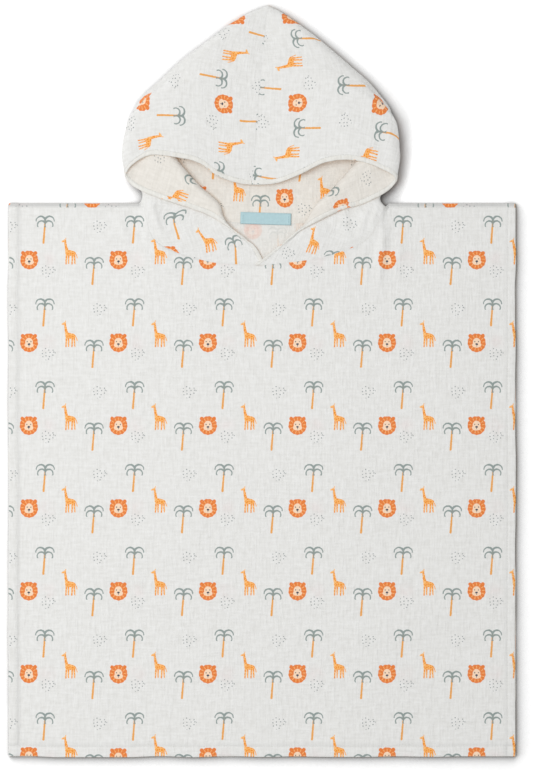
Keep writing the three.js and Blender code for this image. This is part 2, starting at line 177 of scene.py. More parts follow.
# The share of each size of pucker, and that size along both threads
PUCKERS = [(0.40, 7, 26), (0.35, 24, 7.5), (0.25, 13, 15), (0.20, 4.5, 5.5)]
CREASE_BOW = 0.06  # share of its length that a crease bows out
CREASE_FADE = 0.8  # how soon it fades at its ends


def crinkle(u, v, seed):
    """Height of the gauze's own crinkle, from 0 to about 1: puckers that run with both threads."""
    lumps = sum(share * soft_noise(u, v, *size, seed + k) for k, (share, *size) in enumerate(PUCKERS))
    return 0.5 + 0.5 * lumps


def bell(away, width):
    """A soft ridge of height 1 that falls off over a width."""
    return np.exp(-(away / width) ** 2)


def ramp(way, reach):
    """Rises evenly from 0 to 1 over a reach."""
    return np.clip(way / reach, 0, 1)


def fold_lines(x, y, folds):
    """Height of soft creases, each from one point to another, fading out at its ends."""
    total = np.zeros_like(x)
    for x0, y0, x1, y1, height, width in folds:
        dx, dy = x1 - x0, y1 - y0
        length = math.hypot(dx, dy)
        swell = np.sin(math.pi * np.clip(((x - x0) * dx + (y - y0) * dy) / length ** 2, 0, 1))
        away = ((x - x0) * dy - (y - y0) * dx) / length
        total += height * swell ** CREASE_FADE * bell(away - CREASE_BOW * length * (swell - 0.5), width)
    return total


def mesh_piece(name, points, faces, materials, cut=None):
    """A smooth piece of the garment from points and faces, with its places on the flat cut for the print."""
    mesh = bpy.data.meshes.new(name)
    mesh.from_pydata((points.reshape(-1, 3) / 1000 + SHOULDER).tolist(), [], faces)
    mesh.shade_smooth()
    if cut is not None:
        mesh.attributes.new("cut", "FLOAT_VECTOR", "POINT").data.foreach_set("vector", cut.ravel())
    for material in materials:
        mesh.materials.append(material)
    piece = bpy.data.objects.new(name, mesh)
    bpy.context.scene.collection.objects.link(piece)
    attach(piece, "root")
    return piece


def cloth(name, upper, lower, cut, materials, painted_seam_shade=0.0, flip=False):
    """A closed piece of cloth between two sheets of points. With its flat cut it keeps a painted shade at its
    seams and hems, from 0 to 1, which greys it."""
    rows, columns = upper.shape[:2]
    count = rows * columns
    index = np.arange(count).reshape(rows, columns)
    top = np.stack([index[:-1, :-1], index[:-1, 1:], index[1:, 1:], index[1:, :-1]], -1).reshape(-1, 4)
    rim = np.concatenate([index[0, :-1], index[:-1, -1], index[-1, :0:-1], index[:0:-1, 0]])
    after = np.roll(rim, -1)
    sides = np.stack([rim, rim + count, after + count, after], -1)
    faces = np.concatenate([top, top[:, ::-1] + count, sides])
    if flip:
        faces = faces[:, ::-1]
    flat = np.concatenate([cut, np.broadcast_to(painted_seam_shade, (rows, columns))[..., None]], -1)
    piece = mesh_piece(name, np.stack([upper, lower]), faces.tolist(), materials, np.stack([flat, flat]))
    slots = np.repeat([0, len(materials) - 1, 0], [len(top), len(top), len(sides)])
    piece.data.polygons.foreach_set("material_index", slots)
    return piece


def linear(hex_colour, shares=(1.0, 1.0, 1.0)):
    """A colour of the screen, such as E7E7E5, as the light it stands for, with a share of each part."""
    parts = [int(hex_colour[k:k + 2], 16) / 255 for k in (0, 2, 4)]
    light = [c / 12.92 if c <= 0.04045 else ((c + 0.055) / 1.055) ** 2.4 for c in parts]
    return (*[c * share for c, share in zip(light, shares)], 1.0)


def add(tree, kind, inputs, **settings):
    """Adds a node with its settings. Inputs are named, or listed in the node's own order. Each is a value, a
    socket, or a node whose first live output is meant."""
    new = tree.nodes.new("ShaderNode" + kind)
    for key, value in settings.items():
        setattr(new, key, value)
    for key, value in inputs.items() if isinstance(inputs, dict) else enumerate(inputs):
        if isinstance(value, bpy.types.Node):
            value = next(output for output in value.outputs if output.enabled)
        if isinstance(value, bpy.types.NodeSocket):
            tree.links.new(value, new.inputs[key])
        else:
            new.inputs[key].default_value = value
    return new


# The print: palms, giraffes, lion faces and clusters of dots, strewn evenly over one repeat, each drawn from
# its own middle. A stroke runs from one point to another, with its half width at both. A spot has its centre
# and two half widths. A frond has the centre and radius of its bow, its half width and its lowest point.
CELL = (106.0, 98.0)  # the repeat
PALM_PLACES = [(13.0, 20.0), (61.0, 69.0)]
LION_PLACE = (42.0, 31.0)
GIRAFFE_PLACE = (90.0, 42.0)
DOT_PLACES = [(65.0, 18.0), (20.0, 71.0)]
LEAF_GREEN, TRUNK_OCHRE, AMBER, AMBER_LIGHT = "8A9794", "EAA24A", "F08E0C", "FDC070"
MANE_ORANGE, MANE_LIGHT, FACE_PALE = "E67922", "FAB878", "F7DCC0"
NAVY, DOT_GREY = "2E3A52", "8E9494"
TRUNK = ((-1.8, -17.5), (0.2, 8.0), 1.25, 0.9)
TRUNK_TOP = (0.2, 9.0, 0)
FRONDS = [((5.3, -0.8), 5.5, 1.3, -1.4), ((4.3, -5.6), 4.9, 1.25, -8.0)]  # of the right half
FROND_TAPER = 0.06  # of half width that a leaf loses for each mm outwards
GIRAFFE = [
    ((-1.6, -2.4), (4.2, -3.4), 3.5, 3.0), ((-3.2, -0.6), (-5.3, 11.4), 1.9, 1.1),
    ((-5.4, 12.0), (-8.4, 10.9), 1.4, 0.9), ((-4.8, 12.6), (-4.2, 14.8), 0.35, 0.5),
    ((-3.4, -4.6), (-4.2, -15.6), 1.15, 0.75), ((-1.0, -4.6), (-1.1, -15.2), 1.05, 0.7),
    ((3.4, -5.2), (2.9, -15.6), 1.1, 0.75), ((5.6, -4.4), (6.5, -15.2), 1.15, 0.7),
    ((7.0, -2.4), (9.2, -8.4), 0.4, 0.6),
]
MIDDLE = (0.0, 0.0)
MANE = (MIDDLE, 10.6, 11.0)
LOCKS = 13.0  # of the mane, round its edge
LOCK_DEPTH = 0.22
RAYS = (7.9, 1.5)  # the middle and half width of the ring of lighter locks
EAR = ((7.4, 8.2), 2.3, 2.3)
FACE = [((0.0, 0.6), 4.6, 5.2), ((0.0, -2.6), 5.4, 3.2)]
EYE = ((2.2, 1.4), 0.6, 0.7)
NOSE = ((0.0, -1.6), 1.6, 1.1)
MOUTH = ((0.0, -2.0), (0.0, -4.2), 0.35, 0.3)
LIGHT_LOCK = (-1.8, 1.3)  # turns the wave of the locks into lighter ones with dark gaps
COAT_SCALE = 0.3  # patches of the coat for each mm
COAT_LINES = (0.05, 0.13)  # share of a patch over which its pale outline fades
CLUSTER = (MIDDLE, 8.6, 8.2)
DOT_STEP = 4.0
DOT_RADIUS = 0.68
INK_EDGE = 0.28  # over which a printed edge fades into the weave
INK_SPREAD = 0.9  # that wet ink runs
INK_PATCHES = (0.3, 0.6, 0.86, 1.0)  # low and high of the noise, and the ink's strength there


def local_place(tree, cut, place):
    """The cut's coordinates measured from the middle of the nearest copy of a motif."""
    half = (CELL[0] / 2, CELL[1] / 2, 0)
    moved = add(tree, "VectorMath", [cut, (half[0] - place[0], half[1] - place[1], 0)], operation="ADD")
    wrapped = add(tree, "VectorMath", [moved, (*CELL, 1), (0, 0, 0)], operation="WRAP")
    return add(tree, "VectorMath", [wrapped, half], operation="SUBTRACT")


def stroke(tree, place, start, end, thick, thin):
    """Distance to a brush stroke that tapers from one half width to another."""
    run = (end[0] - start[0], end[1] - start[1], 0)
    square = run[0] ** 2 + run[1] ** 2
    from_start = add(tree, "VectorMath", [place, (*start, 0)], operation="SUBTRACT")
    share = add(tree, "VectorMath", [from_start, [c / square for c in run]], operation="DOT_PRODUCT")
    share = add(tree, "Math", [share.outputs["Value"], 1.0], operation="MINIMUM", use_clamp=True)
    off = add(tree, "VectorMath", [share, [-c for c in run], from_start], operation="MULTIPLY_ADD")
    off = add(tree, "VectorMath", [off], operation="LENGTH")
    tapered = add(tree, "Math", [share, thick - thin, off.outputs["Value"]], operation="MULTIPLY_ADD")
    return add(tree, "Math", [tapered, thick], operation="SUBTRACT")


def spot(tree, place, centre, across, tall):
    """Distance to an oval spot."""
    off = add(tree, "VectorMath", [place, (*centre, 0)], operation="SUBTRACT")
    off = add(tree, "VectorMath", [off, (1.0, across / tall, 0)], operation="MULTIPLY")
    off = add(tree, "VectorMath", [off], operation="LENGTH")
    return add(tree, "Math", [off.outputs["Value"], across], operation="SUBTRACT")


def frond(tree, place, centre, radius, half_width, lowest_point):
    """Distance to a palm leaf: a bow round a centre that thins outwards and ends at its lowest point."""
    off = add(tree, "VectorMath", [place, (*centre, 0)], operation="DISTANCE")
    off = add(tree, "Math", [off.outputs["Value"], radius], operation="SUBTRACT")
    off = add(tree, "Math", [off], operation="ABSOLUTE")
    off = add(tree, "Math", [off, half_width], operation="SUBTRACT")
    parts = add(tree, "SeparateXYZ", [place])
    off = add(tree, "Math", [parts.outputs["X"], FROND_TAPER, off], operation="MULTIPLY_ADD")
    under = add(tree, "Math", [lowest_point, parts.outputs["Y"]], operation="SUBTRACT")
    return add(tree, "Math", [off, under], operation="MAXIMUM")


def nearest(tree, shapes):
    """Distance to the nearest of several shapes."""
    closest = shapes[0]
    for shape in shapes[1:]:
        closest = add(tree, "Math", [closest, shape], operation="MINIMUM")
    return closest


def mirrored(tree, place):
    """The same place with its left half folded onto the right one."""
    parts = add(tree, "SeparateXYZ", [place])
    across = add(tree, "Math", [parts.outputs["X"]], operation="ABSOLUTE")
    return add(tree, "CombineXYZ", [across, parts.outputs["Y"]])


def inked(tree, colour, shape, ink, strength):
    """The colour with a shape printed over it."""
    cover = add(tree, "MapRange", [shape, INK_EDGE, -INK_EDGE, 0.0, 1.0])
    cover = add(tree, "Math", [cover, strength], operation="MULTIPLY")
    return add(tree, "Mix", {"Factor": cover, "A": colour, "B": ink}, data_type="RGBA")


def savanna_print():
    """The whole print as a node group: the flat cut and the cloth's colour in, the printed colour out."""
    tree = bpy.data.node_groups.new("savanna print", "ShaderNodeTree")
    tree.interface.new_socket("Cut", in_out="INPUT", socket_type="NodeSocketVector")
    tree.interface.new_socket("Cloth", in_out="INPUT", socket_type="NodeSocketColor")
    tree.interface.new_socket("Printed", in_out="OUTPUT", socket_type="NodeSocketColor")
    given = tree.nodes.new("NodeGroupInput")
    # The ink spreads a little unevenly, as wet ink on loose cotton does
    spread = add(tree, "TexNoise", {"Vector": given.outputs["Cut"], "Scale": 0.45, "Detail": 1.0})
    spread = add(tree, "VectorMath", [spread.outputs["Color"], (0.5, 0.5, 0.5)], operation="SUBTRACT")
    cut = add(tree, "VectorMath", [spread, (INK_SPREAD, INK_SPREAD, 0), given.outputs["Cut"]],
              operation="MULTIPLY_ADD")
    patchy = add(tree, "TexNoise", {"Vector": given.outputs["Cut"], "Scale": 0.9, "Detail": 2.0})
    strength = add(tree, "MapRange", [patchy, *INK_PATCHES])
    colour = given.outputs["Cloth"]

    for centre in PALM_PLACES:
        place = local_place(tree, cut, centre)
        colour = inked(tree, colour, stroke(tree, place, *TRUNK), linear(TRUNK_OCHRE), strength)
        crown = mirrored(tree, add(tree, "VectorMath", [place, TRUNK_TOP], operation="SUBTRACT"))
        leaves = nearest(tree, [frond(tree, crown, *leaf) for leaf in FRONDS])
        colour = inked(tree, colour, leaves, linear(LEAF_GREEN), strength)

    place = local_place(tree, cut, GIRAFFE_PLACE)
    giraffe = nearest(tree, [stroke(tree, place, *part) for part in GIRAFFE])
    patches = add(tree, "TexVoronoi", {"Vector": place, "Scale": COAT_SCALE}, feature="DISTANCE_TO_EDGE")
    between = add(tree, "MapRange", [patches, *COAT_LINES, 1.0, 0.0])
    coat = add(tree, "Mix", {"Factor": between, "A": linear(AMBER), "B": linear(AMBER_LIGHT)},
               data_type="RGBA")
    colour = inked(tree, colour, giraffe, coat, strength)

    place = local_place(tree, cut, LION_PLACE)
    half = mirrored(tree, place)
    parts = add(tree, "SeparateXYZ", [place])
    wave = add(tree, "Math", [parts.outputs["Y"], parts.outputs["X"]], operation="ARCTAN2")
    wave = add(tree, "Math", [wave, LOCKS], operation="MULTIPLY")
    wave = add(tree, "Math", [wave], operation="SINE")
    mane = add(tree, "Math", [wave, LOCK_DEPTH, spot(tree, place, *MANE)], operation="MULTIPLY_ADD")
    mane = nearest(tree, [mane, spot(tree, half, *EAR)])
    colour = inked(tree, colour, mane, linear(MANE_ORANGE), strength)
    ring = add(tree, "VectorMath", [place], operation="LENGTH")
    ring = add(tree, "Math", [ring.outputs["Value"], RAYS[0]], operation="SUBTRACT")
    ring = add(tree, "Math", [ring], operation="ABSOLUTE")
    ring = add(tree, "Math", [ring, RAYS[1]], operation="SUBTRACT")
    rays = add(tree, "Math", [wave, *LIGHT_LOCK], operation="MULTIPLY_ADD")
    rays = add(tree, "Math", [rays, ring], operation="MAXIMUM")
    colour = inked(tree, colour, rays, linear(MANE_LIGHT), strength)
    face = nearest(tree, [spot(tree, place, *part) for part in FACE])
    colour = inked(tree, colour, face, linear(FACE_PALE), strength)
    features = nearest(tree, [spot(tree, half, *EYE), spot(tree, place, *NOSE), stroke(tree, place, *MOUTH)])
    colour = inked(tree, colour, features, linear(NAVY), strength)

    for centre in DOT_PLACES:
        place = local_place(tree, cut, centre)
        grains = add(tree, "TexVoronoi", {"Vector": place, "Scale": 1 / DOT_STEP, "Randomness": 0.6},
                     voronoi_dimensions="2D")
        grains = add(tree, "Math", [grains, DOT_STEP, -DOT_RADIUS], operation="MULTIPLY_ADD")
        dots = add(tree, "Math", [grains, spot(tree, place, *CLUSTER)], operation="MAXIMUM")
        colour = inked(tree, colour, dots, linear(DOT_GREY), strength)

    result = tree.nodes.new("NodeGroupOutput")
    tree.links.new(colour.outputs["Result"], result.inputs["Printed"])
    return tree


PRINT = savanna_print()

# Double gauze: two loose cotton muslins caught together, washed so that they pucker. Matt, with a faint sheen
# from its loose fibres. The threads are 0.5 mm apart, drawn 1.7 mm apart so that they show.
COTTON_IOR = 1.53
THREAD = 1.7
PUCKER = (2.6, 17.0)  # across and along a pucker
WEFT_SHARE, PILLOW_SHARE, THREAD_SHARE = 0.9, 0.7, 0.10  # of the height of the puckers along the warp
PUCKER_DEPTH = 0.0011  # metres
PUCKER_RANGE = (1.0, 1.6)  # from a hollow to the top of a pucker
HOLLOW_PAINTED_SHADE = (0.91, 0.905, 0.895)  # painted shade: how bright the cloth's colour is painted in the hollows between puckers
PAINTED_SEAM_GREY = 0.74  # how bright the painted shade at seams, hems and shoulders leaves the cloth's colour
LIGHT_THROUGH = 0.76  # share of the light that passes one face of the cloth
GHOST_SIZE = 9.0
GHOST_FADE = (4.0, -6.0)  # from outside its edge to inside it
GHOST_PATCHES = (0.35, 0.62, 0.25, 1.0)  # low and high of the noise, and the ghost's strength there


def new_material(name):
    """An empty material and its tree of nodes."""
    material = bpy.data.materials.new(name)
    material.use_nodes = True
    material.node_tree.nodes.clear()
    return material, material.node_tree


def gauze(name, cloth_hex, printing, ghost=None):
    """Double gauze with its print: 1 on the printed side, less where it only shows through. A ghost is the
    warm blur of a hidden side's lions: its colour, strength, and 1 for this cloth or -1 for the one below."""
    material, tree = new_material(name)
    laid = add(tree, "Attribute", {}, attribute_name="cut").outputs["Vector"]
    cut = add(tree, "VectorMath", [laid, (1, 1, 0)], operation="MULTIPLY")
    waves = []
    for across, tall in (PUCKER, PUCKER[::-1]):
        wave = add(tree, "VectorMath", [cut, (1 / across, 1 / tall, 0)], operation="MULTIPLY")
        waves.append(add(tree, "TexNoise", {"Vector": wave, "Scale": 1.0, "Detail": 2.0}))
    puckers = add(tree, "Math", [waves[1], WEFT_SHARE, waves[0]], operation="MULTIPLY_ADD")
    pillow = add(tree, "TexNoise", {"Vector": cut, "Scale": 0.16, "Detail": 1.0})
    puckers = add(tree, "Math", [pillow, PILLOW_SHARE, puckers], operation="MULTIPLY_ADD")
    threads = add(tree, "VectorMath", [cut, (2 * math.pi / THREAD,) * 3], operation="MULTIPLY")
    threads = add(tree, "VectorMath", [threads], operation="SINE")
    threads = add(tree, "SeparateXYZ", [threads])
    weave = add(tree, "Math", [threads.outputs["X"], threads.outputs["Y"]], operation="MULTIPLY")
    height = add(tree, "Math", [weave, THREAD_SHARE, puckers], operation="MULTIPLY_ADD")
    bump = add(tree, "Bump", {"Strength": 0.7, "Distance": PUCKER_DEPTH, "Height": height})
    # Painted shade: the cloth's colour is painted darker in the hollows between the puckers, on top of the
    # bump
    raised = add(tree, "MapRange", [puckers, *PUCKER_RANGE, 0.0, 1.0])
    base, painted_hollow_shade = linear(cloth_hex), linear(cloth_hex, HOLLOW_PAINTED_SHADE)
    base = add(tree, "Mix", {"Factor": raised, "A": painted_hollow_shade, "B": base}, data_type="RGBA")
    # Painted shade: the cut's third part greys the colour along seams, hems and the shoulder strip
    painted_seam_shade = add(tree, "SeparateXYZ", [laid]).outputs["Z"]
    seam_shade_grey = linear(cloth_hex, (PAINTED_SEAM_GREY,) * 3)
    base = add(tree, "Mix", {"Factor": painted_seam_shade, "A": base, "B": seam_shade_grey}, data_type="RGBA")
    if ghost:
        ghost_hex, strength, side = ghost
        below = add(tree, "VectorMath", [cut, (side, 1, 1)], operation="MULTIPLY")
        lion = spot(tree, local_place(tree, below, LION_PLACE), MIDDLE, GHOST_SIZE, GHOST_SIZE)
        blur = add(tree, "MapRange", [lion, *GHOST_FADE, 0.0, strength])
        patchy = add(tree, "TexNoise", {"Vector": cut, "Scale": 0.09, "Detail": 2.0})
        patchy = add(tree, "MapRange", [patchy, *GHOST_PATCHES])
        blur = add(tree, "Math", [blur, patchy], operation="MULTIPLY")
        base = add(tree, "Mix", {"Factor": blur, "A": base, "B": linear(ghost_hex)}, data_type="RGBA")
    colour = add(tree, "Group", {"Cut": cut, "Cloth": base}, node_tree=PRINT)
    if printing < 1:
        colour = add(tree, "Mix", {"Factor": printing, "A": base, "B": colour}, data_type="RGBA")
    shader = add(tree, "BsdfPrincipled", {
        "Base Color": colour, "Roughness": 0.92, "IOR": COTTON_IOR, "Specular IOR Level": 0.25,
        "Sheen Weight": 0.12, "Sheen Roughness": 0.6, "Normal": bump,
    })
    # Some of the lamp's light passes between the threads, and comes out warmer
    path = add(tree, "LightPath", {})
    passing = add(tree, "Math", [path.outputs["Is Shadow Ray"], LIGHT_THROUGH], operation="MULTIPLY")
    between = add(tree, "BsdfTransparent", {"Color": linear("FFEED4")})
    add(tree, "OutputMaterial", {"Surface": add(tree, "MixShader", [passing, shader, between])})
    return material


printed_gauze = gauze("printed cotton double gauze", "E9E9E7", 1.0)
ghosted_gauze = gauze("printed cotton double gauze over a second layer", "E9E9E7", 1.0, ("E9C7C6", 0.16, -1))
wrong_side = gauze("wrong side of the gauze", "E8E7E3", 0.14, ("F0B4A8", 0.42, 1))

NECK_GAP = 0.02  # the least between two points of a neck edge
NECK_CLOSER = 0.85  # how much closer the columns stand at the neck
TUCK = 1.6  # that a panel's edge runs on inside the neck seam


def run_along(line):
    """The length of a line from its start to each of its points."""
    return np.append(0, np.cumsum(np.linalg.norm(np.diff(line, axis=0), axis=1)))


def neck_edge(lines, middle):
    """A panel's neck edge from left to right: the hood's neck rows up to where the fronts cross."""
    edge = np.concatenate(lines)
    for k in range(middle - 1, -1, -1):
        edge[k, 0] = min(edge[k, 0], edge[k + 1, 0] - NECK_GAP)
    for k in range(middle + 1, len(edge)):
        edge[k, 0] = max(edge[k, 0], edge[k - 1, 0] + NECK_GAP)
    return edge


def panel_columns(edge, step):
    """Where a body panel's columns stand: close together at its hems, and evenly along its neck edge."""
    hem = BODY_WIDTH / 2 - np.array(SIDE_STEPS)
    runs = []
    for side, end in ((-1, edge[0, 0]), (1, edge[-1, 0])):
        count = round((hem[-1] - abs(end)) / step)
        runs.append(side * np.linspace(hem[-1], abs(end), count, endpoint=False)[1:])
    lengths = run_along(edge[:, :2])
    count = round(lengths[-1] / (step * NECK_CLOSER))
    neck = np.interp(np.linspace(0, lengths[-1], count), lengths, edge[:, 0])
    return np.array([*-hem, *runs[0], *neck, *runs[1][::-1], *hem[::-1]])


def panel_grid(edge, step):
    """Places of a panel's points, their distance from the top edge, and whether a column meets the neck."""
    x = panel_columns(edge, step)
    at_neck = (x >= edge[0, 0]) & (x <= edge[-1, 0])
    top = np.where(at_neck, np.minimum(np.interp(x, edge[:, 0], edge[:, 1]), 0), 0)
    low = np.array(BOTTOM_STEPS) - BODY_LENGTH
    high = top - np.array(TOP_STEPS)[::-1, None]
    count = round((BODY_LENGTH - BOTTOM_STEPS[-1] - TOP_STEPS[-1]) / step)
    share = np.linspace(0, 1, count)[1:-1, None]
    middle = low[-1] + share * (high[0] - low[-1])
    y = np.concatenate([np.repeat(low[:, None], len(x), 1), middle, high, (top + TUCK * at_neck)[None]])
    return np.repeat(x[None], len(y), 0), y, top - y, at_neck


def hem_share(x, y):
    """How much of a hem's rise a place gets."""
    side = (np.abs(x) - (BODY_WIDTH / 2 - SIDE_HEM - HEM_STEP)) / HEM_STEP
    bottom = (-y - (BODY_LENGTH - BOTTOM_HEM - HEM_STEP)) / HEM_STEP
    return np.clip(np.maximum(side, bottom), 0, 1)


SIDE_STITCHES = 9.3  # from the panel's edges
BOTTOM_STITCHES = 12.0
SHOULDER_STITCHES = 5.0
GROOVE_WIDTHS = (0.8, 0.9, 0.9)  # of the grooves that those three rows of stitches press in
STITCH_DEPTH = 0.45
EDGE_ROUND = 1.1  # over which an edge rounds up to the full thickness
EDGE_THIN = 0.35  # share of the thickness at the very edge
NECK_COVER, SHOULDER_COVER = TUCK * 0.4, 0.15  # how far past the top edge the rounding starts
EDGE_WANDER = 0.8  # that a washed hem wanders
WANDER_LENGTHS = (34, 40)  # of a side hem and the bottom hem
STITCH_PUCKERS = (0.5, 9)  # how uneven the grooves are, and over what length


def panel_sheets(x, y, underside, from_top, at_neck, seed):
    """The upper and lower sheets of a panel, rounded at its edges, with its rows of stitching pressed in."""
    in_side = BODY_WIDTH / 2 - np.abs(x)
    in_bottom = y + BODY_LENGTH
    in_top = from_top + np.where(at_neck, NECK_COVER, SHOULDER_COVER)
    edge = ramp(np.minimum(np.minimum(in_side, in_bottom), in_top), EDGE_ROUND)
    rounded = EDGE_THIN + (1 - EDGE_THIN) * np.sqrt(1 - (1 - edge) ** 2)
    thick = (CLOTH + HEM_RISE * hem_share(x, y)) * rounded
    uneven, length = STITCH_PUCKERS
    pucker = 1 + uneven * soft_noise(x + 3 * y, y - 3 * x, length, length, seed + 9)
    side, bottom, shoulder = (bell(away, width) for away, width in zip(
        (in_side - SIDE_STITCHES, in_bottom - BOTTOM_STITCHES, from_top - SHOULDER_STITCHES), GROOVE_WIDTHS))
    groove = np.clip(side + bottom + ~at_neck * shoulder, 0, 1)
    top = underside + thick - STITCH_DEPTH * groove * pucker
    side_wander = soft_noise(y, 0 * y, WANDER_LENGTHS[0], 1, seed + 20) * (np.abs(x) / (BODY_WIDTH / 2)) ** 6
    low_wander = soft_noise(x, 0 * x, WANDER_LENGTHS[1], 1, seed + 21) * ramp(-y, BODY_LENGTH) ** 8
    shown_x, shown_y = x + EDGE_WANDER * side_wander, y + EDGE_WANDER * low_wander
    return np.stack([shown_x, shown_y, top], -1), np.stack([shown_x, shown_y, underside], -1)


NECK_PAINTED_SHADE, HEM_PAINTED_SHADE = 0.25, 0.4  # strength of the painted shade in the neck seam and along the hems' inner edge
PAINTED_SHADE_REACH = 1.6
STRIP_FADE = (0.2, 1.2)  # how far above the shoulders' stitches the painted shade of the strip ends, and fades


def panel_painted_shade(x, y, from_top, at_neck):
    """The painted shade of a panel: at its shoulders, in the neck seam and along its hems' inner edge."""
    in_side = BODY_WIDTH / 2 - np.abs(x)
    in_bottom = y + BODY_LENGTH
    shoulder = ramp(SHOULDER_STITCHES - STRIP_FADE[0] - from_top, STRIP_FADE[1]) * ~at_neck
    neck = NECK_PAINTED_SHADE * bell(from_top, PAINTED_SHADE_REACH) * at_neck
    hems = bell(in_side - SIDE_HEM - 1, PAINTED_SHADE_REACH) + bell(in_bottom - BOTTOM_HEM - 1, PAINTED_SHADE_REACH)
    return np.clip(np.maximum(np.maximum(shoulder, neck), HEM_PAINTED_SHADE * hems), 0, 1)


left_neck = smooth(row_points(NECK_LEFT, NECK_NAPE), ROW_STEPS)
right_neck = smooth(row_points(NECK_RIGHT, NECK_NAPE), ROW_STEPS)
back_left = left_neck[SIDE_COLUMN:]
back_right = right_neck[SIDE_COLUMN:-1][::-1]
back_edge = neck_edge([back_left, back_right], len(back_left))
x, y, from_top, at_neck = panel_grid(back_edge, BACK_STEP)
NECK_RISE = FLOOR_LAYER - CLOTH / 2  # the back's edge rises to the middle of the hood's two layers
NECK_RISE_REACH = 9
PRINT_START = (31.3, 62.3)  # where the panel lay on the printed cloth, so that a lion shows under the label
BACK_CRINKLE = 0.35
CALM_TOP = 12  # below the shoulders, where the crinkle reaches its height
TABLE_GAP = 0.05
SEED = 11
under = NECK_RISE * np.exp(-np.maximum(from_top, 0) / NECK_RISE_REACH) * at_neck + TABLE_GAP
under = under + BACK_CRINKLE * (1 - hem_share(x, y)) * crinkle(x, y, SEED) * ramp(-y, CALM_TOP)
upper, lower = panel_sheets(x, y, under, from_top, at_neck, SEED)
cut = np.stack([-x, y], -1) + PRINT_START
body_back = cloth("back_panel", upper, lower, cut, [wrong_side, printed_gauze],
                  panel_painted_shade(x, y, from_top, at_neck))
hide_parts("body_back")

# Front panel
# The same rectangle, cut lower at the neck, lying on the back panel. The neck seam lifts it, and soft folds
# run from the seam's lower corners and across the cloth where it was smoothed out by hand.
WALL = 1.2  # the space that one panel takes
SEAM_GAP = 0.3
REST_MIDDLE = WALL + SEAM_GAP + WALL / 2
PANEL_STEP = 3.6
# Creases from x, y to x, y, with their height and half width
FRONT_FOLDS = [
    (-158, -52, -84, -86, 2.2, 8), (150, -14, 137, -105, 2.6, 6), (168, -22, 158, -96, 1.6, 7),
    (-168, -8, -158, -60, 1.8, 7), (-250, -120, -120, -190, 1.4, 22), (40, -250, 210, -300, 1.3, 26),
    (-230, -430, -60, -400, 1.4, 24), (90, -520, 240, -470, 1.3, 24),
]
SMALL_FOLDS = [
    (-120, -58, -96, -84, 0.9, 5), (-92, -70, -60, -92, 0.7, 5), (-40, -80, -22, -104, 0.5, 5),
    (30, -80, 44, -112, 0.5, 6), (96, -64, 108, -100, 0.9, 5), (118, -50, 126, -88, 1.0, 4.5),
    (143, -30, 149, -70, 0.9, 4), (-146, -24, -142, -62, 0.8, 4.5), (-176, -30, -172, -74, 0.5, 6),
    (-294, -210, -262, -236, 0.6, 7), (290, -330, 262, -352, 0.6, 7), (-120, -648, -112, -616, 0.6, 7),
    (86, -650, 98, -612, 0.6, 8), (200, -96, 262, -110, 0.6, 12), (-60, -330, 30, -350, 0.6, 14),
]
FRONT_CRINKLE = 0.75
WAVE_HEIGHT = 0.6
WAVE_ACROSS = 170.0
WAVE_ALONG = 230.0
LEVEL_REACH = 60.0  # below the shoulders, where the slow waves reach their height
NECK_REACH = 34.0  # how far down and sideways the neck seam lifts the panel
SHOULDER_REACH = 14.0
SHOULDER_DIP = (0.5, 1.5)  # that the strip turned over at the shoulders is drawn down, and its reach
CALM_TOP = 10
STRIP_PRINT = (31.3, 25.5)  # that the print is off in that strip
CROSSING = [-2.0, -73.6, 3.6]  # where the two fronts cross
CROSSING_REACH = 7.0
SEED = 31

front_left = left_neck[:SIDE_COLUMN + 1]
front_left = front_left[front_left[:, 0] < CROSSING[0] - CROSSING_REACH][::-1]
front_right = right_neck[:SIDE_COLUMN + 1]
front_right = front_right[front_right[:, 0] > CROSSING[0] + CROSSING_REACH]
front_edge = neck_edge([front_left, [CROSSING], front_right], len(front_left))


def neck_lift(x, y):
    """How far the neck seam lifts the front panel."""
    beyond = np.maximum(np.maximum(front_edge[0, 0] - x, x - front_edge[-1, 0]), 0)
    seam_y = np.interp(x, front_edge[:, 0], front_edge[:, 1])
    seam_z = np.interp(x, front_edge[:, 0], front_edge[:, 2])
    fading = np.exp(-beyond / SHOULDER_REACH) * np.exp(np.minimum(y - seam_y, 0) / NECK_REACH)
    return np.maximum(0, (seam_z - REST_MIDDLE) * fading)


x, y, from_top, at_neck = panel_grid(front_edge, PANEL_STEP)
inside = 1 - hem_share(x, y)
wave = WAVE_HEIGHT * (1 + np.sin(2 * math.pi * x / WAVE_ACROSS + y / WAVE_ALONG)) / 2
under = WALL + SEAM_GAP + hem_share(x, y) * HEM_RISE
under = under + inside * (wave * np.minimum(1, -y / LEVEL_REACH) + fold_lines(x, y, FRONT_FOLDS))
waves = crinkle(x, y, SEED) * ramp(-y, CALM_TOP)
under = under + inside * (fold_lines(x, y, SMALL_FOLDS) + FRONT_CRINKLE * waves)
under = under + neck_lift(x, y) - SHOULDER_DIP[0] * ~at_neck * np.exp(-from_top / SHOULDER_DIP[1])
front_upper, front_lower = panel_sheets(x, y, under, from_top, at_neck, SEED)
strip = (from_top < SHOULDER_STITCHES) & ~at_neck
cut = np.stack([x, y], -1) + strip[..., None] * np.array(STRIP_PRINT)
body_front = cloth("front_panel", front_upper, front_lower, cut, [ghosted_gauze, wrong_side],
                   panel_painted_shade(x, y, from_top, at_neck))
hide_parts("body_front")

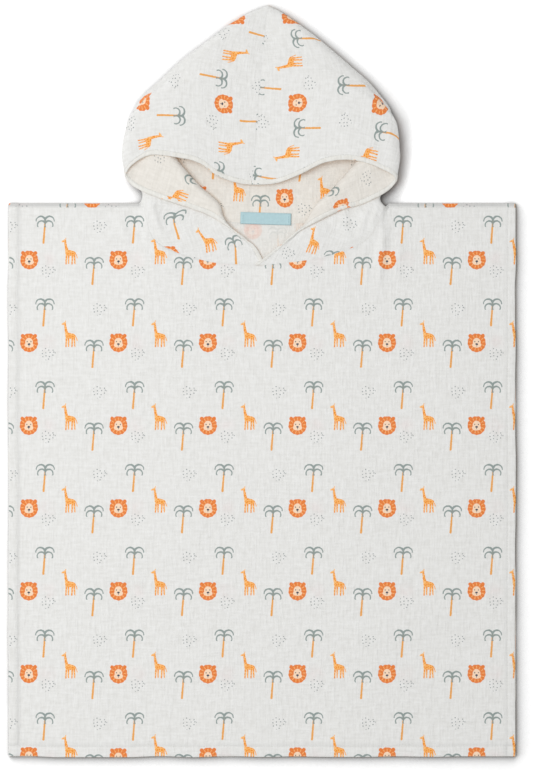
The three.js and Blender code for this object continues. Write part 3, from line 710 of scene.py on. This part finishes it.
# Hood
# Two side panels of the same gauze, joined along the top and the back, their lower edge in the neck seam.
# The front rolls outwards at the crest, so the lining shows there, and the back lies on the table.
NAPE = [
    NECK_NAPE, [-15, -9], [-14.5, 7], [-13.5, 24], [-12.5, 42], [-10.5, 66], [-9, 84], [-8, 95], [-7.5, 102],
    [-6, 112], [-4.5, 126], [-3.5, 139], [-0.5, 168], [2, 190], [4, 208], [6, 221], [7, 228],
]
TOP_SEAM = ((-12, 22, 8.5), (-7, 72, 11.5), (-1.5, 145, 12), 0, (3, 195, 8), (7, 233.5), 2.6)
LEFT_ROWS = [
    NECK_LEFT,
    ((-9, -50.5, 4.6), (-15, -50, 4.7), (-23, -49.6, 4.8), 0, (-119, -30, 6), (-142, 3.5), 2.7,
     (-70, -47, 5.4)),
    ((-33, -33.5, 8.5), (-37, -29.5, 7.4), (-44, -25, 6), 0, (-114, -15, 6), (-141, 7), 2.8, (-78, -24, 5.8)),
    ((-57.5, -16.5, 9.8), (-55, -9, 11.4), (-51, -1, 8), 3.2, (-104, -4, 5.6), (-141, 12), 2.8),
    ((-82, -6.5, 9.8), (-77.5, 6, 12.6), (-73, 19, 10.2), 4.4, (-110, 10, 6), (-144.5, 20), 2.8),
    ((-119, 5.5, 10.2), (-113, 31, 13.6), (-105.5, 57, 10.2), 4, (-130, 47, 6.6), (-152.5, 46), 2.8),
    ((-141, 14, 10.6), (-133.5, 46, 13.2), (-124, 84, 10), 3.4, (-140, 76, 6.4), (-156.5, 69), 2.7),
    ((-154.5, 22, 10.4), (-148, 58, 11), (-133, 99, 9.6), 2.9, (-146, 90, 6.8), (-157, 80), 2.9),
    ((-160.5, 31, 13.2), (-164.5, 60, 13.8), (-158.5, 91, 12.4), 0, (-154.5, 101, 11), (-149.5, 113), 4.2),
    ((-157, 40.5, 16.6), (-155, 68, 18), (-149, 104, 15.6), 0, (-147.5, 111, 13), (-146, 119), 4.6),
    ((-144.5, 51, 17.4), (-142, 74, 17.6), (-139, 110, 17.5), 0, (-137.5, 120, 15), (-136.5, 130.5), 4.8),
    ((-131, 56.5, 18), (-130, 80, 18), (-127, 118, 18.5), 0, (-125.5, 130, 15.5), (-124.5, 141), 5),
    ((-102, 54, 17.8), (-99, 84, 17.4), (-96, 134, 18.5), 0, (-94, 154, 15), (-92.5, 170.5), 5),
    ((-74.5, 47.5, 15.6), (-72, 84, 16), (-68, 140, 17), 0, (-65, 170, 14), (-62, 193), 5),
    ((-52.5, 32.5, 13), (-49, 76, 14), (-44, 142, 15), 0, (-40, 181, 12), (-36.5, 212), 4.4),
    ((-28.5, 24, 9.5), (-25, 72, 12.5), (-18.5, 143, 13), 0, (-14.5, 190, 9.5), (-11, 226.5), 3.4),
    TOP_SEAM,
]
RIGHT_ROWS = [
    NECK_RIGHT,
    ((14, -55.5, 7.5), (20, -54.8, 7.3), (28, -54, 7), 0, (117, -30, 6), (143, -2), 2.7, (72, -48.5, 5.8)),
    ((40.5, -35.5, 9.5), (45, -31.5, 8.4), (51, -27, 7), 0, (112, -16, 6.2), (140, 2), 2.8, (80, -25, 6.2)),
    ((70, -19, 9.8), (67, -11.5, 11.4), (62.5, -3.5, 8), 3.2, (103, -5, 5.6), (139, 7), 2.8),
    ((95, -7.5, 9.8), (87.5, 1, 12.4), (78, 10.5, 10), 4, (111, 6, 6), (142, 14), 2.8),
    ((117.5, -1, 10), (113, 20, 13.6), (107.5, 43.5, 10.8), 4, (129, 39, 6.6), (149, 38), 2.8),
    ((138.5, 8.5, 10.6), (133, 37, 13), (126.5, 68, 10), 3.4, (140, 64, 6.4), (153.5, 60), 2.7),
    ((151.5, 17, 10.4), (147, 47, 11), (135, 86, 9.6), 2.9, (147, 79, 6.8), (156, 72), 2.9),
    ((158.5, 27, 13.2), (162, 57, 13.8), (159, 87, 12.4), 0, (156, 97, 11), (151.5, 109.5), 4.2),
    ((153.5, 33.5, 16.6), (153, 64, 18), (150.5, 102, 15.6), 0, (149, 109, 13), (147.5, 116.5), 4.6),
    ((140, 40.5, 17.4), (139.5, 70, 17.6), (139, 109, 17.5), 0, (138.5, 119, 15), (138, 128.5), 4.8),
    ((125.5, 46.5, 18), (126, 76, 17.8), (127, 118, 18.5), 0, (127, 131, 15.5), (127, 141.5), 5),
    ((101.5, 51, 17.6), (101.5, 83, 17.4), (101.5, 130, 18.5), 0, (101.5, 148, 15), (102, 163.5), 5),
    ((73.5, 47.5, 15.6), (74, 82, 16), (75, 137, 17), 0, (75.5, 164, 14), (76, 186), 5),
    ((45, 34, 13.5), (46, 76, 14), (47, 141, 15), 0, (48.5, 177, 12), (50, 206.5), 4.4),
    ((15.5, 23.5, 9.5), (17, 72, 12.5), (19, 143, 13), 0, (21.5, 188, 9.5), (24, 224.5), 3.4),
    TOP_SEAM,
]
LEVEL_STEPS = [8, 8, 8, 8, 12, 8, 5, 6, 6, 6, 5, 10, 9, 9, 8, 5]
FACES = (0.15, 0.95)  # from the hood's middle surface to a panel's inner and outer face
SEAM_DIP = 0.15  # share of the thickness that a seam draws in
SEAM_REACH = 1.4
SEAM_PAINTED_SHADES = (0.2, 0.08, 0.15)  # painted shade along the back, top and neck seams
SEAM_ANGLE = math.radians(60)  # a panel's face and cut edge meet at more than this, so they shade apart
ROLL_COLUMN = sum(ROW_STEPS[:3])  # the row's point on the crest
ROLL_CALM = 0.7  # share of the crinkle that the tight roll of the crest pulls smooth
HOOD_CRINKLE = 0.9
UNDER_CRINKLE = 0.8
# Rows and columns of the surface over which its creases fade: on both sides of the side fold, at the neck
# and the other seams, over the crest, and before the side fold for the crinkle
TOP_FADE, UNDER_START, UNDER_FADE = 8, 4, 10
NECK_FADE, SEAM_FADE, CREST_FADE, CALM_SIDE = 6, 3, 5, 6
# Creases of the hood's top layer, of the layer on the table, and of the turned-out front
OVER_FOLDS = [
    (-128, 116, -60, 104, 1.0, 9), (-100, 150, -40, 176, 0.9, 10), (60, 118, 132, 98, 1.1, 8),
    (48, 176, 104, 142, 0.9, 10), (-88, 78, -30, 62, -1.0, 8), (34, 60, 100, 72, -1.1, 8),
    (-134, 10, -112, -52, 2.2, 4), (-142, 0, -129, -44, 1.7, 3.5), (-96, -6, -84, -58, 1.2, 5),
    (97, 4, 101, -48, 1.9, 4), (126, -2, 116, -42, 1.8, 3.5), (137, 2, 131, -34, 1.6, 3.5),
    (70, -20, 62, -60, 1.2, 5), (108, 70, 146, 58, 0.8, 6), (112, 88, 150, 80, -0.8, 5),
    (-140, 82, -104, 72, -0.9, 6), (-10, 120, 30, 132, 0.7, 9), (-30, 190, 0, 150, 0.8, 8),
    (20, 206, 30, 160, 0.7, 8),
]
UNDER_FOLDS = [
    (-96, 40, -30, -6, 1.6, 7), (-60, 52, -8, 34, 1.2, 8), (20, 40, 86, 20, 1.3, 8), (30, 6, 92, -8, 1.1, 6),
    (-40, 10, 14, 6, 1.0, 7), (-110, 90, -70, 60, 1.4, 8), (96, 84, 60, 50, 1.3, 8),
]
FLAP_FOLDS = [
    (-140, 62, -118, 30, 0.8, 6), (-104, 30, -84, 8, 0.7, 5), (140, 52, 120, 24, 0.8, 6),
    (108, 22, 88, 4, 0.7, 5),
]


def hood_grid(rows):
    """The middle surface of half the hood: levels from the neck up, each from the front edge to the nape."""
    table = np.array([row_points(row, nape) for row, nape in zip(rows, NAPE)])
    lines = smooth(table.transpose(1, 0, 2), ROW_STEPS).transpose(1, 0, 2)
    grid = smooth(lines, LEVEL_STEPS)
    grid[..., 2] = np.maximum(grid[..., 2], FLOOR_LAYER)
    return grid


def normals_of(grid, flip):
    """Face directions of a surface, from its neighbours along both ways."""
    up = np.gradient(grid, axis=0)
    back = np.gradient(grid, axis=1)
    across = np.cross(up, back) * flip
    across[grid[..., 2] <= FLOOR_LAYER] = (0, 0, -1)
    return unit(across)


def on_grid(grid, i, j):
    """Points of a grid at places between its rows and columns."""
    i0 = np.minimum(i.astype(int), grid.shape[0] - 2)
    j0 = np.minimum(j.astype(int), grid.shape[1] - 2)
    s, t = (i - i0)[..., None], (j - j0)[..., None]
    near = grid[i0, j0] * (1 - t) + grid[i0, j0 + 1] * t
    far = grid[i0 + 1, j0] * (1 - t) + grid[i0 + 1, j0 + 1] * t
    return near * (1 - s) + far * s


# Rows and columns of the surface that the flat cut keeps
CUT_ROWS = [0, 8, 16, 24, 38, 52, 63, 75, 90, 103, 114, 121]
CUT_COLUMNS = [0, 12, 22, 33, 46, 62, 76, 92, 109]
LINK_STEPS = 25  # points along a link whose length is measured
PULLS = 1200  # rounds of pulling, enough for the flat cut to settle
EASINGS = 200  # rounds of evening out between the kept lines
EASING = 0.9  # share of the way that a point moves in one round
SHORTEST = 0.3  # the least length that a stretch counts with


def flat_cut(grid, side):
    """The panel's flat cut: its points pulled into a plane until every length is the cloth's own."""
    rows, columns = np.array(CUT_ROWS), np.array(CUT_COLUMNS)
    number = np.arange(len(rows) * len(columns)).reshape(len(rows), len(columns))
    links = np.concatenate([np.stack(pair, -1).reshape(-1, 2) for pair in (
        (number[:-1], number[1:]), (number[:, :-1], number[:, 1:]),
        (number[:-1, :-1], number[1:, 1:]), (number[:-1, 1:], number[1:, :-1]),
    )])
    place = np.stack(np.meshgrid(rows, columns, indexing="ij"), -1).reshape(-1, 2).astype(float)
    share = np.linspace(0, 1, LINK_STEPS)[:, None, None]
    path = place[links[:, 0]] * (1 - share) + place[links[:, 1]] * share
    path = on_grid(grid, path[..., 0], path[..., 1])
    lengths = np.linalg.norm(np.diff(path, axis=0), axis=-1).sum(0)
    upright_count, level_count = number[:-1].size, number[:, :-1].size
    tall = np.append(0, np.cumsum(lengths[:upright_count].reshape(len(rows) - 1, -1).mean(1)))
    steps = lengths[upright_count:upright_count + level_count].reshape(len(rows), -1)
    reach = np.append(np.cumsum(steps[:, ::-1], axis=1)[:, ::-1], np.zeros((len(rows), 1)), axis=1)
    flat = np.stack([side * reach, np.repeat(tall[:, None], len(columns), 1)], -1).reshape(-1, 2)
    degree = np.bincount(links.ravel(), minlength=len(flat))
    first, second = links.T
    for pull in range(PULLS):
        ends = flat[second] - flat[first]
        now = np.linalg.norm(ends, axis=1, keepdims=True)
        move = ends * (now - lengths[:, None]) / np.maximum(now, 1e-6) / 2
        for k in (0, 1):
            total = np.bincount(first, move[:, k], len(flat)) - np.bincount(second, move[:, k], len(flat))
            flat[:, k] += total / degree
    flat = flat.reshape(len(rows), len(columns), 2)
    # The cloth's warp runs halfway between the back seam and the top seam's square
    back_seam = flat[-1, -1] - flat[0, -1]
    top_seam = flat[-1, 0] - flat[-1, -1]
    warp = back_seam / np.linalg.norm(back_seam) + side * top_seam[::-1] * (-1, 1) / np.linalg.norm(top_seam)
    turn = math.atan2(warp[0], warp[1])
    spin = np.array([[math.cos(turn), -math.sin(turn)], [math.sin(turn), math.cos(turn)]])
    flat = (flat - flat[0, -1]) @ spin.T
    # Between the kept lines a point's share of the way is its share of the cloth's length
    i = np.interp(np.arange(grid.shape[0]), rows, np.arange(len(rows)))
    run = np.cumsum(np.linalg.norm(np.diff(grid, axis=1, prepend=grid[:, :1]), axis=-1), axis=1)
    j = np.array([np.interp(line, line[columns], np.arange(len(columns))) for line in run])
    wide = on_grid(flat, np.repeat(i[:, None], grid.shape[1], 1), j)
    # Each point then moves to the middle of its four neighbours, the nearer ones counting more
    level = 1 / np.maximum(np.linalg.norm(np.diff(grid, axis=1), axis=-1), SHORTEST)[1:-1, :, None]
    upright = 1 / np.maximum(np.linalg.norm(np.diff(grid, axis=0), axis=-1), SHORTEST)[:, 1:-1, None]
    total = level[:, 1:] + level[:, :-1] + upright[1:] + upright[:-1]
    for easing in range(EASINGS):
        middle = (level[:, 1:] * wide[1:-1, 2:] + level[:, :-1] * wide[1:-1, :-2]
                  + upright[1:] * wide[2:, 1:-1] + upright[:-1] * wide[:-2, 1:-1]) / total
        wide[1:-1, 1:-1] += EASING * (middle - wide[1:-1, 1:-1])
    return wide


def creased(grid, normals, cut, seed):
    """The surface with its creases and crinkle, which its outer panel and lining share."""
    x, y = grid[..., 0], grid[..., 1]
    rows, columns = grid.shape[:2]
    row, column = np.arange(rows)[:, None], np.arange(columns)[None]
    level = np.abs(normals[..., 2])
    top_layer = ramp(SIDE_COLUMN - column, TOP_FADE) * level
    over, flap = top_layer * (normals[..., 2] > 0), top_layer * (normals[..., 2] < 0)
    under = ramp(column - SIDE_COLUMN - UNDER_START, UNDER_FADE) * level
    # Nothing moves in the seams
    inner = ramp(row, NECK_FADE) * ramp(rows - 1 - row, SEAM_FADE) * ramp(columns - 1 - column, SEAM_FADE)
    lift = over * fold_lines(x, y, OVER_FOLDS) + flap * fold_lines(x, y, FLAP_FOLDS)
    lift += under * fold_lines(x, y, UNDER_FOLDS)
    free = 1 - ramp(column - SIDE_COLUMN + CALM_SIDE, TOP_FADE)
    free = free * (1 - ROLL_CALM * bell(column - ROLL_COLUMN, CREST_FADE))
    height = crinkle(cut[..., 0], cut[..., 1], seed)
    shifted = grid + normals * (HOOD_CRINKLE * (height - 0.5) * free * inner)[..., None]
    shifted[..., 2] += (lift + UNDER_CRINKLE * height * under) * inner
    return shifted


left_grid, right_grid = hood_grid(LEFT_ROWS), hood_grid(RIGHT_ROWS)
left_normals, right_normals = normals_of(left_grid, 1), normals_of(right_grid, -1)
for along_seam in (np.s_[-1, :], np.s_[:, -1]):
    mean = unit(left_normals[along_seam] + right_normals[along_seam])
    left_normals[along_seam] = mean
    right_normals[along_seam] = mean
left_cut, right_cut = flat_cut(left_grid, -1), flat_cut(right_grid, 1)
LEFT_SEED, RIGHT_SEED = 51, 61
# Each half: whether its faces are turned round, its middle surface, its normals and its flat cut
HOOD_HALVES = {
    "left": (False, creased(left_grid, left_normals, left_cut, LEFT_SEED), left_normals, left_cut),
    "right": (True, creased(right_grid, right_normals, right_cut, RIGHT_SEED), right_normals, right_cut),
}


def hood_panel(name, side, outwards, cut, material):
    """A panel of one half with its seams, outside the half's middle surface, 1, or inside it, -1."""
    flip, grid, normals, _ = HOOD_HALVES[side]
    drawn = painted_seam_shade = np.zeros(grid.shape[:2])
    # Painted shade greys the cloth along the seams, besides the dip that draws them in
    for seam, grey in zip((grid[:, -1:], grid[-1:], grid[:1]), SEAM_PAINTED_SHADES):
        close = bell(np.linalg.norm(grid - seam, axis=-1), SEAM_REACH)
        drawn = np.maximum(drawn, close)
        painted_seam_shade = np.maximum(painted_seam_shade, grey * close)
    reach = normals * outwards * (1 - SEAM_DIP * drawn)[..., None]
    panel = cloth(name, grid + reach * FACES[1], grid + reach * FACES[0], cut, [material], painted_seam_shade,
                  (outwards > 0) != flip)
    panel.data.set_sharp_from_angle(angle=SEAM_ANGLE)
    return panel


def cut_area(cut):
    """Area of a panel's flat cut, in square metres, and the sides of the rectangle round it."""
    a, b = cut[1:, 1:] - cut[:-1, :-1], cut[1:, :-1] - cut[:-1, 1:]
    area = float(np.abs(a[..., 0] * b[..., 1] - a[..., 1] * b[..., 0]).sum() / 2e6)
    return area, tuple(float(np.ptp(cut[..., k]) / 1000) for k in (0, 1))


# How far the print is off from the lining's, so that the seam cuts it
OUTER_PRINT = {"left": (0, -15), "right": (0, -22)}
for side, (*_, cut) in HOOD_HALVES.items():
    panel = hood_panel("hood_" + side + "_panel", side, 1, cut * (-1, 1) + OUTER_PRINT[side], printed_gauze)
    area, flat = cut_area(cut)
    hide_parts("hood_" + side)

# Hood lining
# The same two panels again, inside out, so that the print shows round the face and on the turned-out front.
# Its colour is painted a little warmer than the outside's, standing in for the warm light that comes through
# two layers of cotton.
lining_gauze = gauze("printed cotton double gauze of the lining", "E9E5DE", 1.0)
for side, (*_, cut) in HOOD_HALVES.items():
    panel = hood_panel("lining_" + side + "_panel", side, -1, cut, lining_gauze)
    area, flat = cut_area(cut)
    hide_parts("hood_lining_" + side)

# Rolled front edge
# Panel and lining are turned together at the free edge and topstitched. That leaves a light unprinted roll,
# puffed a little between the stitches.
ROLL_WIDTH = 6.2
ROLL_HEIGHT = 2.7
ROLL_STEP = 1.2
ROLL_SIDES = 14
ROLL_SQUARENESS = (0.8, 0.9)  # powers of the cosine and the sine, 1 for a plain oval
ROLL_PUFFS = [(0.22, 3.2, 71), (0.14, 9, 72)]  # share of the height, length and seed
ROLL_WAVER = (0.07, 6, 73)  # the same for the width
ROLL_LAP = 0.5  # that the roll stands out past the panels' edge
ROLL_LOWEST = 0.1


def at_run(values, run, at):
    """Values along a line at other lengths along it."""
    return np.stack([np.interp(at, run, values[:, k]) for k in range(3)], 1)


def squared(values, power):
    """The same values with a fuller curve."""
    return np.sign(values) * np.abs(values) ** power


plain_gauze = gauze("rolled edge of cotton double gauze", "E9E8E3", 0.0)
for side, (_, grid, normals, _) in HOOD_HALVES.items():
    run = run_along(grid[:, 0])
    fine = np.arange(0, run[-1], ROLL_STEP)
    inward = unit(grid[:, 2] - grid[:, 0])
    edge, inward, up = (at_run(values, run, fine) for values in (grid[:, 0], inward, normals[:, 0]))
    angle = np.linspace(0, 2 * math.pi, ROLL_SIDES, endpoint=False)
    puff = 1 + sum(share * soft_noise(fine, 0 * fine, length, 1, seed) for share, length, seed in ROLL_PUFFS)
    share, length, seed = ROLL_WAVER
    wide = ROLL_WIDTH / 2 * (1 + share * soft_noise(fine, 0 * fine, length, 1, seed))
    across = squared(np.cos(angle), ROLL_SQUARENESS[0]) * wide[:, None]
    tall = squared(np.sin(angle), ROLL_SQUARENESS[1]) * (puff * ROLL_HEIGHT / 2)[:, None]
    middle = edge + inward * (ROLL_WIDTH / 2 - ROLL_LAP)
    ring = middle[:, None] + inward[:, None] * across[..., None] + up[:, None] * tall[..., None]
    ring[..., 2] = np.maximum(ring[..., 2], ROLL_LOWEST)
    index = np.arange(ring[..., 0].size).reshape(ring.shape[:2])
    beside = np.roll(index, -1, axis=1)
    faces = np.stack([index[:-1], beside[:-1], beside[1:], index[1:]], -1).reshape(-1, 4).tolist()
    faces += [index[0, ::-1].tolist(), index[-1].tolist()]
    flat = np.zeros(ring.shape)
    flat[..., 0] = fine[:, None]
    flat[..., 1] = angle * ROLL_WIDTH / 3
    roll = mesh_piece("front_roll_" + side, ring, faces, [plain_gauze], flat)

# Neck label
# A bare woven ribbon of polyester, folded under at its short ends and stitched inside the back neck seam.
# It lies a little askew.
LABEL_SIZE = (60.0, 14.0)
LABEL_PLACE = (4.5, -18.0)
LABEL_TILT = -0.03
LABEL_THICK = 0.45
LABEL_LIFT = 0.3  # above the hood's lower layers
END_TURN = (4.5, 0.25, 2.5)  # the turned-under ends: their length, thickness and steepness
LABEL_ROUND = 0.9
LABEL_THIN = 0.12  # square of the share of the thickness at the very edge
WAVER = (0.15, 13, 18, 81)  # the ribbon's waver: height, lengths and seed
RIB = 1.6  # drawn twice as coarse as the real ribs so that they show


def ribbon(name, hex_colour):
    """Woven polyester: fine even ribs along the ribbon with a soft gloss."""
    material, tree = new_material(name)
    cut = add(tree, "Attribute", {}, attribute_name="cut").outputs["Vector"]
    threads = add(tree, "VectorMath", [cut, (math.pi / RIB, 2 * math.pi / RIB, 0)], operation="MULTIPLY")
    threads = add(tree, "VectorMath", [threads], operation="SINE")
    threads = add(tree, "SeparateXYZ", [threads])
    weave = add(tree, "Math", [threads.outputs["X"], 0.3, threads.outputs["Y"]], operation="MULTIPLY_ADD")
    uneven = add(tree, "TexNoise", {"Vector": cut, "Scale": 0.25, "Detail": 3.0})
    deep, light = linear(hex_colour, (0.9,) * 3), linear(hex_colour, (1.08,) * 3)
    colour = add(tree, "Mix", {"Factor": uneven, "A": deep, "B": light}, data_type="RGBA")
    bump = add(tree, "Bump", {"Strength": 0.35, "Distance": 0.0003, "Height": weave})
    shader = add(tree, "BsdfPrincipled", {
        "Base Color": colour, "Roughness": 0.5, "IOR": 1.57, "Sheen Weight": 0.1, "Normal": bump,
    })
    add(tree, "OutputMaterial", {"Surface": shader})
    return material


label_x, label_y = np.meshgrid(*(np.arange(-size / 2, size / 2 + 1) for size in LABEL_SIZE))
in_end = LABEL_SIZE[0] / 2 - np.abs(label_x)
in_side = LABEL_SIZE[1] / 2 - np.abs(label_y)
turned = END_TURN[1] / (1 + np.exp((in_end - END_TURN[0]) * END_TURN[2]))
rounded = np.sqrt(np.clip(np.minimum(in_end, in_side) / LABEL_ROUND, LABEL_THIN, 1))
waver = WAVER[0] * (1 + soft_noise(label_x, label_y, *WAVER[1:]))
label_low = 2 * FLOOR_LAYER + SEAM_GAP + LABEL_LIFT + waver
label_top = label_low + (LABEL_THICK + turned) * rounded
spin = (math.cos(LABEL_TILT), math.sin(LABEL_TILT))
placed_x = LABEL_PLACE[0] + label_x * spin[0] - label_y * spin[1]
placed_y = LABEL_PLACE[1] + label_x * spin[1] + label_y * spin[0]
label_upper = np.stack([placed_x, placed_y, label_top], -1)
label_lower = np.stack([placed_x, placed_y, label_low], -1)
neck_label = cloth("woven_label", label_upper, label_lower, np.stack([label_x, label_y], -1),
                   [ribbon("woven polyester ribbon", "ADCCD2")])
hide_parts("neck_label")

# Stitching
# Lockstitch in white cotton thread: the hems, the shoulders' topstitching and the rolled edge. The ends of
# the label are sewn in blue.
STITCH_PITCH = 3.0
STITCH_LENGTH = 2.3
THREAD_RADIUS = 0.2
THREAD_SIDES = 6
AHEAD = 0.5  # to the point that gives a stitch its direction
STRAIGHT_UP = (0.0, 0.0, 1.0)
# The rings of a stitch: their place along it, and how high and how thick it is there, in radii of the thread
STITCH_RINGS = [(0, -1.2, 0.5), (0.2, 0.5, 1.0), (0.8, 0.5, 1.0), (1, -1.2, 0.5)]
EDGE_STITCHES = 0.9  # from the roll's inner side
PANELS_HALF = 1.25  # half the thickness of panel and lining with the thread on them
LABEL_STITCHES = (3, 57)  # columns of the label's points, 3 mm from its ends


def thread_material(name, hex_colour):
    """Spun cotton thread: matt, with its twist just showing."""
    material, tree = new_material(name)
    place = add(tree, "TexCoord", {})
    twist = add(tree, "TexNoise", {"Vector": place.outputs["Object"], "Scale": 1600.0, "Detail": 2.0})
    deep = linear(hex_colour, (0.86,) * 3)
    colour = add(tree, "Mix", {"Factor": twist, "A": deep, "B": linear(hex_colour)}, data_type="RGBA")
    shader = add(tree, "BsdfPrincipled", {
        "Base Color": colour, "Roughness": 0.75, "IOR": COTTON_IOR, "Sheen Weight": 0.2,
    })
    add(tree, "OutputMaterial", {"Surface": shader})
    return material


def stitch_row(line, normals):
    """The points of one row of stitches along a line on the cloth, ring after ring round the thread."""
    run = run_along(line)
    starts = np.arange(STITCH_PITCH / 2, run[-1] - STITCH_PITCH, STITCH_PITCH)
    rings = []
    for share, rise, radius in STITCH_RINGS:
        at = starts + share * STITCH_LENGTH
        middle = at_run(line, run, at)
        up = unit(at_run(normals, run, at))
        beside = unit(np.cross(up, at_run(line, run, at + AHEAD) - middle))
        for angle in np.arange(THREAD_SIDES) * 2 * math.pi / THREAD_SIDES:
            out = up * (rise + radius * math.sin(angle)) + beside * radius * math.cos(angle)
            rings.append(middle + THREAD_RADIUS * out)
    return np.array(rings).transpose(1, 0, 2)


def stitching(name, rows, material):
    """All the stitches of several rows as one joined mesh."""
    stitches = np.concatenate(rows)
    rings = np.arange(stitches.shape[1]).reshape(-1, THREAD_SIDES)
    beside = np.roll(rings, -1, axis=1)
    faces = np.stack([rings[:-1], beside[:-1], beside[1:], rings[1:]], -1).reshape(-1, 4).tolist()
    faces += [rings[0, ::-1].tolist(), rings[-1].tolist()]
    starts = range(0, stitches[..., 0].size, rings.size)
    every = [[point + start for point in face] for start in starts for face in faces]
    return mesh_piece(name, stitches, every, [material])


def flat_row(line):
    """A row of stitches on a level piece of cloth."""
    return stitch_row(line, np.tile(STRAIGHT_UP, (len(line), 1)))


cotton_thread = thread_material("white cotton thread", "E4E4E0")
side_stitches = SIDE_STEPS.index(SIDE_STITCHES)
low_row, top_row = 8, -6  # the panel's rows of points under the bottom and the shoulders' stitches
neck_columns = np.flatnonzero(at_neck)
hem_stitching = stitching("hem_stitching", [flat_row(line) for line in (
    front_upper[low_row:-3, side_stitches], front_upper[low_row:-3, -1 - side_stitches],
    front_upper[low_row, side_stitches:-side_stitches],
    front_upper[top_row, 2:neck_columns[0]], front_upper[top_row, neck_columns[-1] + 1:-2],
)], cotton_thread)

edge_rows = []
for _, grid, normals, _ in HOOD_HALVES.values():
    line = grid[:, 0] + unit(grid[:, 2] - grid[:, 0]) * (ROLL_WIDTH - EDGE_STITCHES)
    for face in (1, -1):
        up = face * normals[:, 1]
        edge_rows.append(stitch_row((line + up * PANELS_HALF)[2:-2], up[2:-2]))
roll_stitching = stitching("roll_stitching", edge_rows, cotton_thread)

label_rows = [flat_row(label_upper[1:-1, column]) for column in LABEL_STITCHES]
label_stitching = stitching("label_stitching", label_rows, thread_material("blue thread", "9CC4C9"))

# Floor and light
# A plain white surface, which glows a little so that it stays white. The lamp casts only a short shadow. The
# longer soft shadow at the right and the bottom is painted shadow: ambient occlusion turned towards the upper
# left darkens the paper's colour and glow beside the garment, with a shorter one all round. A large soft
# light from the upper left and a pale sky light the rest.
FLOOR_HALF = 4.0
FLOOR_HEIGHT = -0.0002
KEY_ENERGY = 59.0
KEY_PLACE = (-1.0, 0.25, 2.62)
KEY_SIZE = 2.4
SKY_STRENGTH = 0.45
PAINTED_SHADOW_SIDE = (-0.68, 0.6, 0.38)  # towards the light, so that the long painted shadow falls away from it
LONG_PAINTED_SHADOW = (0.025, 1.75)  # metres over which the painted shadow fades, and its depth
SHORT_PAINTED_SHADOW = (0.012, 0.9)
PAPER_GLOW = 0.19

corners = [(-FLOOR_HALF, -FLOOR_HALF, 0), (FLOOR_HALF, -FLOOR_HALF, 0),
           (FLOOR_HALF, FLOOR_HALF, 0), (-FLOOR_HALF, FLOOR_HALF, 0)]
floor_mesh = bpy.data.meshes.new("floor")
floor_mesh.from_pydata(corners, [], [(0, 1, 2, 3)])
floor = bpy.data.objects.new("floor", floor_mesh)
floor.location.z = FLOOR_HEIGHT
bpy.context.scene.collection.objects.link(floor)
paper, tree = new_material("white paper")
grain = add(tree, "TexNoise", {"Scale": 900.0})
shade = add(tree, "Mix", {"Factor": grain, "A": linear("FBFBFB"), "B": linear("FFFFFF")}, data_type="RGBA")
# Painted shadow: ambient occlusion darkens the paper's colour and its glow beside the garment, the long one
# towards the lower right
for side, (reach, depth) in ((PAINTED_SHADOW_SIDE, LONG_PAINTED_SHADOW), (STRAIGHT_UP, SHORT_PAINTED_SHADOW)):
    faced = add(tree, "CombineXYZ", side)
    open_share = add(tree, "AmbientOcclusion", {"Distance": reach, "Normal": faced}, samples=8).outputs["AO"]
    open_share = add(tree, "Math", [open_share, depth], operation="POWER")
    shade = add(tree, "VectorMath", [shade, open_share], operation="MULTIPLY")
shader = add(tree, "BsdfPrincipled", {
    "Base Color": shade, "Roughness": 0.9, "Specular IOR Level": 0.1,
    "Emission Color": shade, "Emission Strength": PAPER_GLOW,
})
add(tree, "OutputMaterial", {"Surface": shader})
floor_mesh.materials.append(paper)

key_data = bpy.data.lights.new("key", "AREA")
key_data.energy = KEY_ENERGY
key_data.shape = "DISK"
key_data.size = KEY_SIZE
key = bpy.data.objects.new("key", key_data)
key.location = KEY_PLACE
key.rotation_euler = Vector(KEY_PLACE).to_track_quat("Z", "Y").to_euler()
bpy.context.scene.collection.objects.link(key)

sky = bpy.data.worlds.new("pale sky")
sky.use_nodes = True
sky.node_tree.nodes["Background"].inputs["Color"].default_value = (1.0, 1.0, 1.0, 1.0)
sky.node_tree.nodes["Background"].inputs["Strength"].default_value = SKY_STRENGTH
bpy.context.scene.world = sky
bpy.context.scene.view_settings.view_transform = "Standard"
